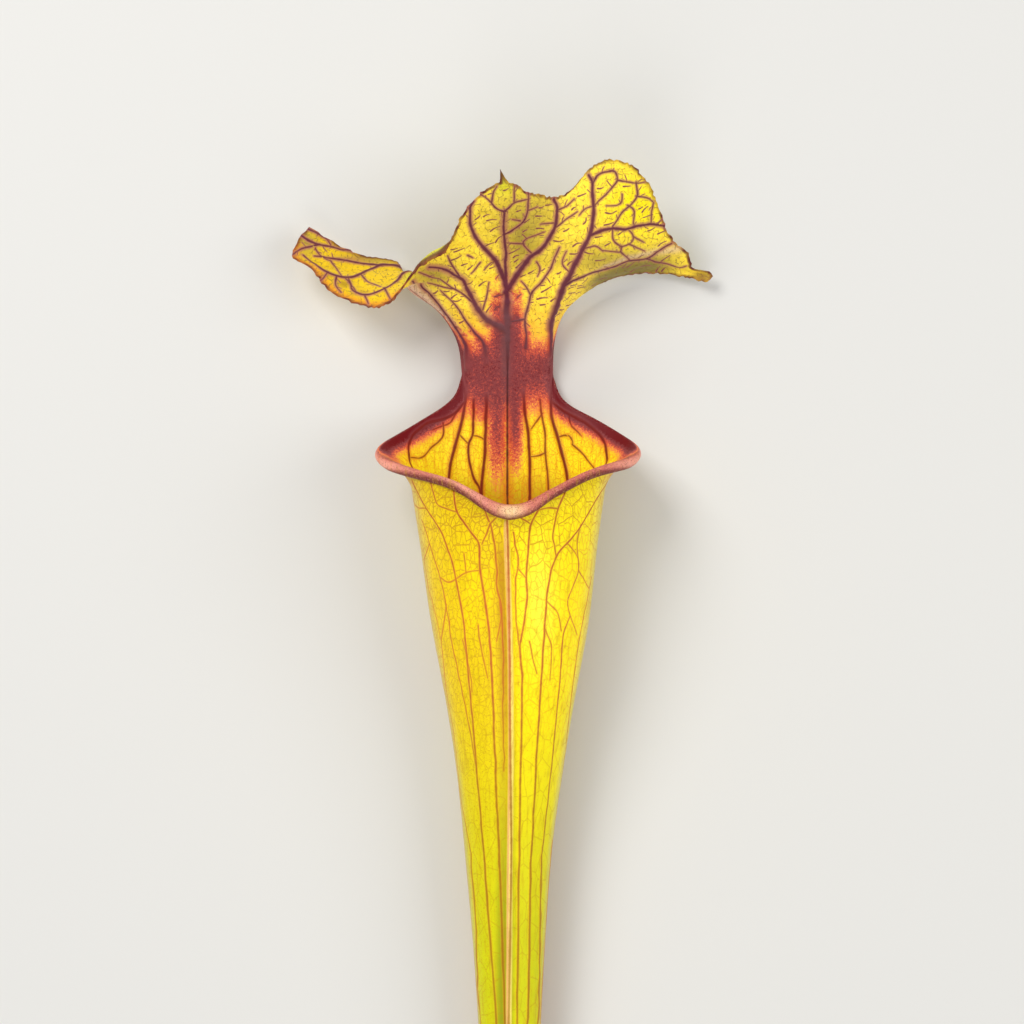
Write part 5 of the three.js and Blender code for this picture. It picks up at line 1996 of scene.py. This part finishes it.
@dataclass(frozen=True)
class LeafFinish:
    """Living leaf: mottled tissue, a fine net and stained veins, half glossy, with a faint glow
    painted in for light through the thin tissue.

    Scales are features a millimetre, and a pair of numbers is a ramp's start and end.
    """

    roughness: float = 0.46
    specular: float = 0.2
    coat: tuple = (0.03, 0.3)
    # A faint glow in the leaf's own colour: painted light that stands in for light through the thin
    # tissue
    glow: float = 0.24
    bump: float = 0.5
    bump_depth: float = 0.0004
    coarse_scale: float = 0.28
    grain_scale: float = 1.5
    fine_scale: float = 3.6
    # How far a vein's edge fades in millimetres, and how much more on the tube
    vein_soft: tuple = (0.1, 0.08)
    vein_wobble: float = 0.2
    # Mottling: its limit in the noise, how much its amount lowers that, and its strength
    speck_limit: tuple = (0.63, 0.17)
    speck: float = 0.75
    streak: float = 0.42
    streak_scale: float = 0.9
    # The nets: their scale and half the width of their lines, and how they waver
    wide_net: tuple = (0.21, 0.04)
    close_net: tuple = (0.6, 0.1)
    net_wave: tuple = (0.42, 0.8)
    net_gaps: tuple = (0.47, 0.57)
    # The flush: each colour's name, and the depths at which it starts and is full
    borders: tuple = (
        ("flush_orange", 0.06, 0.4), ("flush_red", 0.32, 0.62),
        ("flush_maroon", 0.58, 0.9), ("flush_dark", 0.98, 1.3),
    )
    colours: LeafColours = LeafColours()

    def material(self) -> bpy.types.Material:
        """Builds the material: tissue, flushed, mottled and netted, with stained veins, painted
        highlights on the lip's grain and a faint painted glow.

        Returns:
            The material.
        """
        c = self.colours
        g = Graph("leaf_tissue")
        place = g.node("TexCoord", {}, {}, "Object")
        place = g.vector("SCALE", {0: place, "Scale": 1 / MILLIMETRE})
        coarse = g.noise(place, self.coarse_scale, 3)
        grain = g.noise(place, self.grain_scale, 4, 0.62)
        fine = g.noise(place, self.fine_scale, 3, 0.6)
        wobble = (fine + grain - 1.0) * self.vein_wobble
        vein, stain, gap = self.veins(g, wobble)

        speck_amount, wide_amount, close_amount = g.parts("amounts")
        net_place = g.attribute("net_place", "Vector")
        scale, reach = self.net_wave
        wave = g.node("TexNoise", {}, {"Vector": net_place, "Scale": scale, "Detail": 1.0}, "Color")
        net_place = g.vector("MULTIPLY_ADD", {0: wave, 1: (reach, reach, 0.0), 2: net_place})
        broken = g.step(g.noise(place, 0.9, 2), *self.net_gaps)
        closed = g.attribute("closed_net", "Fac")
        broken = g.maths("MAXIMUM", broken, closed)
        wide = self.net(g, net_place, *self.wide_net) * wide_amount
        close = self.net(g, net_place, *self.close_net) * close_amount * broken
        net = g.maths("MAXIMUM", wide, close) * g.step(gap, 0.05, 0.4)

        vein_colour = g.attribute("vein_colour", "Color")
        speck_colour = g.attribute("speck_colour", "Color")
        tissue = g.attribute("tissue", "Color")
        base, fall = self.speck_limit
        limit = base - fall * speck_amount
        speck = g.step(grain * 0.4 + fine * 0.6, limit, limit + 0.1) * self.speck
        tissue = g.mix(speck, tissue, speck_colour)
        long_place = g.vector("MULTIPLY", {0: place, 1: (1.0, 0.08, 1.0)})
        streak = g.step(g.noise(long_place, self.streak_scale, 3, 0.6), 0.48, 0.72)
        streak = streak * self.streak * (0.7 + closed * 0.3)
        tissue = g.mix(streak, tissue, speck_colour)
        tissue = g.mix(net, tissue, g.mix(0.75 - closed * 0.35, speck_colour, vein_colour))
        tissue = self.flushed(g, tissue, grain, fine)
        tissue = g.mix(stain, tissue, g.attribute("halo_colour", "Color"))
        tissue = g.mix(vein, tissue, vein_colour)
        lip = g.attribute("lip", "Fac")
        rough = fine + grain * 0.6
        # Pale specks on the lip are painted highlights on its grain, and dark specks are its own
        # grain
        tissue = g.mix(g.step(rough, 0.86, 1.0) * lip * 0.4, tissue, c.lip_highlight)
        tissue = g.mix(g.step(rough, 0.77, 0.62) * lip * 0.75, tissue, c.lip_grain)
        shade = 0.84 + 0.2 * coarse + 0.12 * fine
        colour = g.vector("SCALE", {0: tissue, "Scale": shade})

        relief = vein * 0.6 + net * 0.2 + grain * 0.3 + fine * (0.2 + lip * 0.9)
        bump = g.node(
            "Bump", {}, {"Strength": self.bump, "Distance": self.bump_depth, "Height": relief}
        )
        coat, coat_roughness = self.coat
        shader = g.node("BsdfPrincipled", {}, {
            "Base Color": colour,
            "Roughness": self.roughness + (grain - 0.5) * 0.25 + vein * 0.06,
            "Normal": bump,
            # The emission is the painted glow
            "Emission Color": colour,
            "Emission Strength": self.glow,
            "Specular IOR Level": self.specular,
            "Coat Weight": coat,
            "Coat Roughness": coat_roughness,
        })
        return g.finish(shader)

    def veins(self, g: Graph, wobble: Signal) -> tuple[Signal, Signal, Signal]:
        """Draws the two veins that each face knows of, with the stain beside them.

        A vein is full inside about half its width and fades past its edge, and a thin one is
        paler than a thick one.

        Args:
            g: The material's graph.
            wobble: How much the edges wander, in millimetres.

        Returns:
            The veins, their stain and the least distance past a vein's edge.
        """
        parts = []
        soft, more = self.vein_soft
        soft = soft + g.attribute("closed_net", "Fac") * more
        for slot in ("first", "second"):
            step = g.attribute(f"{slot}_vein_step", "Vector")
            half, halo, stain = g.parts(f"{slot}_vein_size")
            away = g.vector("LENGTH", {0: step}, "Value") + wobble
            line = 1 - g.step(away, half * 0.4, half * 1.25 + soft)
            line = line * g.maths("MINIMUM", 0.56 + half * 1.3, 0.95)
            parts.append((line, (1 - g.step(away, half, half + halo)) * stain, away - half))
        first, second = parts
        return (
            g.maths("MAXIMUM", first[0], second[0]),
            g.maths("MAXIMUM", first[1], second[1]),
            g.maths("MINIMUM", first[2], second[2]),
        )

    def flushed(self, g: Graph, tissue: Signal, grain: Signal, fine: Signal) -> Signal:
        """Lays the flush over the tissue, from orange through red and maroon to its darkest.

        Noise moves each colour's border to and fro, so that they mingle in small spots.

        Args:
            g: The material's graph.
            tissue: The colour below.
            grain: A noise with spots of over half a millimetre.
            fine: A finer noise.

        Returns:
            The colour with the flush.
        """
        flush = g.attribute("flush", "Fac")
        depth = flush + ((grain - 0.5) * 1.15 + (fine - 0.5) * 1.25) * g.step(flush, 0.02, 0.4)
        for name, low, high in self.borders:
            tissue = g.mix(g.step(depth, low, high), tissue, getattr(self.colours, name))
        return tissue

    def net(self, g: Graph, place: Signal, scale: float, line: float) -> Signal:
        """Draws the lines between cells: 1 on a cell's edge, easing to 0 away from it."""
        inputs = {"Vector": place, "Scale": scale, "Randomness": 0.85}
        settings = {"feature": "DISTANCE_TO_EDGE", "voronoi_dimensions": "2D"}
        cells = g.node("TexVoronoi", settings, inputs, "Distance")
        return 1 - g.step(cells, line * 0.3, line)


# The scene


@dataclass
class PitcherLeaf:
    """The whole leaf as one piece: its sheet, veins, skin and colours."""

    view: PhotoView
    finish: LeafFinish = LeafFinish()

    def build(self) -> bpy.types.Object:
        """Makes the leaf's object.

        Returns:
            The object, with its mesh in metres and its material.
        """
        sheet = LeafSheet(self.view)
        skin = LeafSkin(sheet, SkinGrid(sheet))
        veins = VeinField(sheet, skin.samples)
        skin.refine(veins)
        skin.build()
        mesh = make_mesh("pitcher_leaf", skin.points * MILLIMETRE, skin.faces)
        painter = LeafPainter(skin, veins)
        for name in ("tissue", "vein_colour", "halo_colour", "speck_colour"):
            write_layer(mesh, name, Layer.COLOUR, getattr(painter, name)())
        for name in ("amounts", "net_place"):
            write_layer(mesh, name, Layer.VECTOR, getattr(painter, name)())
        for name, values in (
            ("flush", painter.flush), ("lip", painter.lip), ("closed_net", 1 - painter.lid),
        ):
            write_layer(mesh, name, Layer.NUMBER, values)
        self.add_veins(mesh, skin, veins, painter.stain_amount())
        mesh.materials.append(self.finish.material())
        leaf = bpy.data.objects.new("pitcher_leaf", mesh)
        bpy.context.scene.collection.objects.link(leaf)
        return leaf

    def add_veins(
        self, mesh: bpy.types.Mesh, skin: LeafSkin, veins: VeinField, stain: Array
    ) -> None:
        """Writes each face's two nearest veins to its corners.

        Args:
            mesh: The leaf's mesh.
            skin: The skin that the mesh was made from.
            veins: The veins over its samples.
            stain: How strong the stain beside a vein is at each point.
        """
        corners = np.empty(len(mesh.loops), int)
        mesh.loops.foreach_get("vertex_index", corners)
        steps, sizes = veins.at_corners(skin.sample_of[corners].reshape(-1, 3))
        bare = (skin.arc_walk > 0.04) & ~skin.samples.is_lid[skin.sample_of]
        bare |= skin.cut_share >= 0
        for slot, step, size in zip(("first", "second"), steps, sizes):
            step = step.reshape(-1, 3)
            step[bare[corners]] = veins.reach
            size = np.column_stack([size.reshape(-1, 2), stain[corners]])
            for name, values in ((f"{slot}_vein_step", step), (f"{slot}_vein_size", size)):
                write_layer(mesh, name, Layer.VECTOR, values, "CORNER")


class Layer(Enum):
    """Kinds of a mesh's attributes, each with the name of its values."""

    NUMBER = ("FLOAT", "value")
    VECTOR = ("FLOAT_VECTOR", "vector")
    COLOUR = ("FLOAT_COLOR", "color")


def write_layer(
    mesh: bpy.types.Mesh, name: str, kind: Layer, values: Array, domain: str = "POINT"
) -> None:
    """Writes an attribute into a mesh. A colour is given its alpha of 1.

    Args:
        mesh: The mesh.
        name: The attribute's name.
        kind: What its values are.
        values: One row of numbers for each point or corner.
        domain: What it has a value for, a point or a corner, as Blender names them.
    """
    if kind is Layer.COLOUR:
        values = np.concatenate([values, np.ones((len(values), 1))], axis=1)
    data_type, key = kind.value
    mesh.attributes.new(name, data_type, domain).data.foreach_set(key, values.ravel())


def make_mesh(name: str, points: Array, faces: Array) -> bpy.types.Mesh:
    """Makes a smooth mesh of triangles.

    Args:
        name: The mesh's name.
        points: Places in metres, of shape (n, 3).
        faces: The triangles' points, of shape (m, 3).

    Returns:
        The mesh.
    """
    mesh = bpy.data.meshes.new(name)
    mesh.vertices.add(len(points))
    mesh.vertices.foreach_set("co", points.ravel())
    mesh.loops.add(faces.size)
    mesh.loops.foreach_set("vertex_index", faces.ravel())
    mesh.polygons.add(len(faces))
    mesh.polygons.foreach_set("loop_start", np.arange(0, faces.size, 3))
    mesh.polygons.foreach_set("use_smooth", np.ones(len(faces), bool))
    mesh.update(calc_edges=True)
    mesh.validate()
    return mesh


@dataclass(frozen=True)
class Softbox:
    """A square studio light: where it stands, how wide it is and how bright, in metres."""

    name: str
    place: tuple
    width: float
    power: float

    def add(self, target: tuple) -> None:
        """Adds the light, turned towards a place."""
        data = bpy.data.lights.new(self.name, "AREA")
        data.shape = "SQUARE"
        data.size = self.width
        data.energy = self.power
        light = bpy.data.objects.new(self.name, data)
        light.location = self.place
        away = np.array(self.place) - np.array(target)
        flat = math.hypot(away[0], away[1])
        round_up = math.atan2(away[1], away[0]) + math.pi / 2
        light.rotation_euler = (math.atan2(flat, away[2]), 0, round_up)
        bpy.context.scene.collection.objects.link(light)


@dataclass(frozen=True)
class Studio:
    """A pale table under soft light."""

    table_width: float = 6.0
    table_drop: float = 0.0002
    table_colour: Colour = screen_colour(226, 224, 219)
    table_roughness: float = 0.75
    room_colour: Colour = screen_colour(236, 238, 240)
    room_strength: float = 0.45
    target: tuple = (0.0, 0.06, 0.02)
    softboxes: tuple = (
        Softbox("key_light", (-0.55, 0.75, 0.95), 0.55, 9.0),
        Softbox("fill_light", (0.85, 0.1, 0.8), 0.8, 4.5),
        Softbox("foot_light", (-0.25, -0.8, 0.8), 0.8, 3.5),
    )

    def build(self) -> None:
        """Adds the table, the lights and the pale surroundings."""
        half = self.table_width / 2
        corners = np.array([[-half, -half], [half, -half], [half, half], [-half, half]])
        points = np.column_stack([corners, np.full(4, -self.table_drop)])
        mesh = make_mesh("table", points, np.array([[0, 1, 2], [0, 2, 3]]))
        g = Graph("pale_table")
        shader = g.node("BsdfPrincipled", {}, {
            "Base Color": (*self.table_colour, 1),
            "Roughness": self.table_roughness,
        })
        mesh.materials.append(g.finish(shader))
        table = bpy.data.objects.new("table", mesh)
        bpy.context.scene.collection.objects.link(table)
        for softbox in self.softboxes:
            softbox.add(self.target)
        world = bpy.data.worlds.new("pale_room")
        world.use_nodes = True
        background = world.node_tree.nodes["Background"]
        background.inputs["Color"].default_value = (*self.room_colour, 1)
        background.inputs["Strength"].default_value = self.room_strength
        bpy.context.scene.world = world
        bpy.context.scene.view_settings.view_transform = "Standard"


def main() -> None:
    """Builds the leaf in its studio and reports it."""
    logging.basicConfig(level=logging.INFO, format="%(name)s: %(message)s")
    view = PhotoView()
    view.add_camera()
    Studio().build()
    leaf = PitcherLeaf(view).build()
    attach(leaf, "root")
    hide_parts("pitcher")
    LOG.info("%s: %d triangles", leaf.name, len(leaf.data.polygons))


if __name__ == "__main__":
    main()
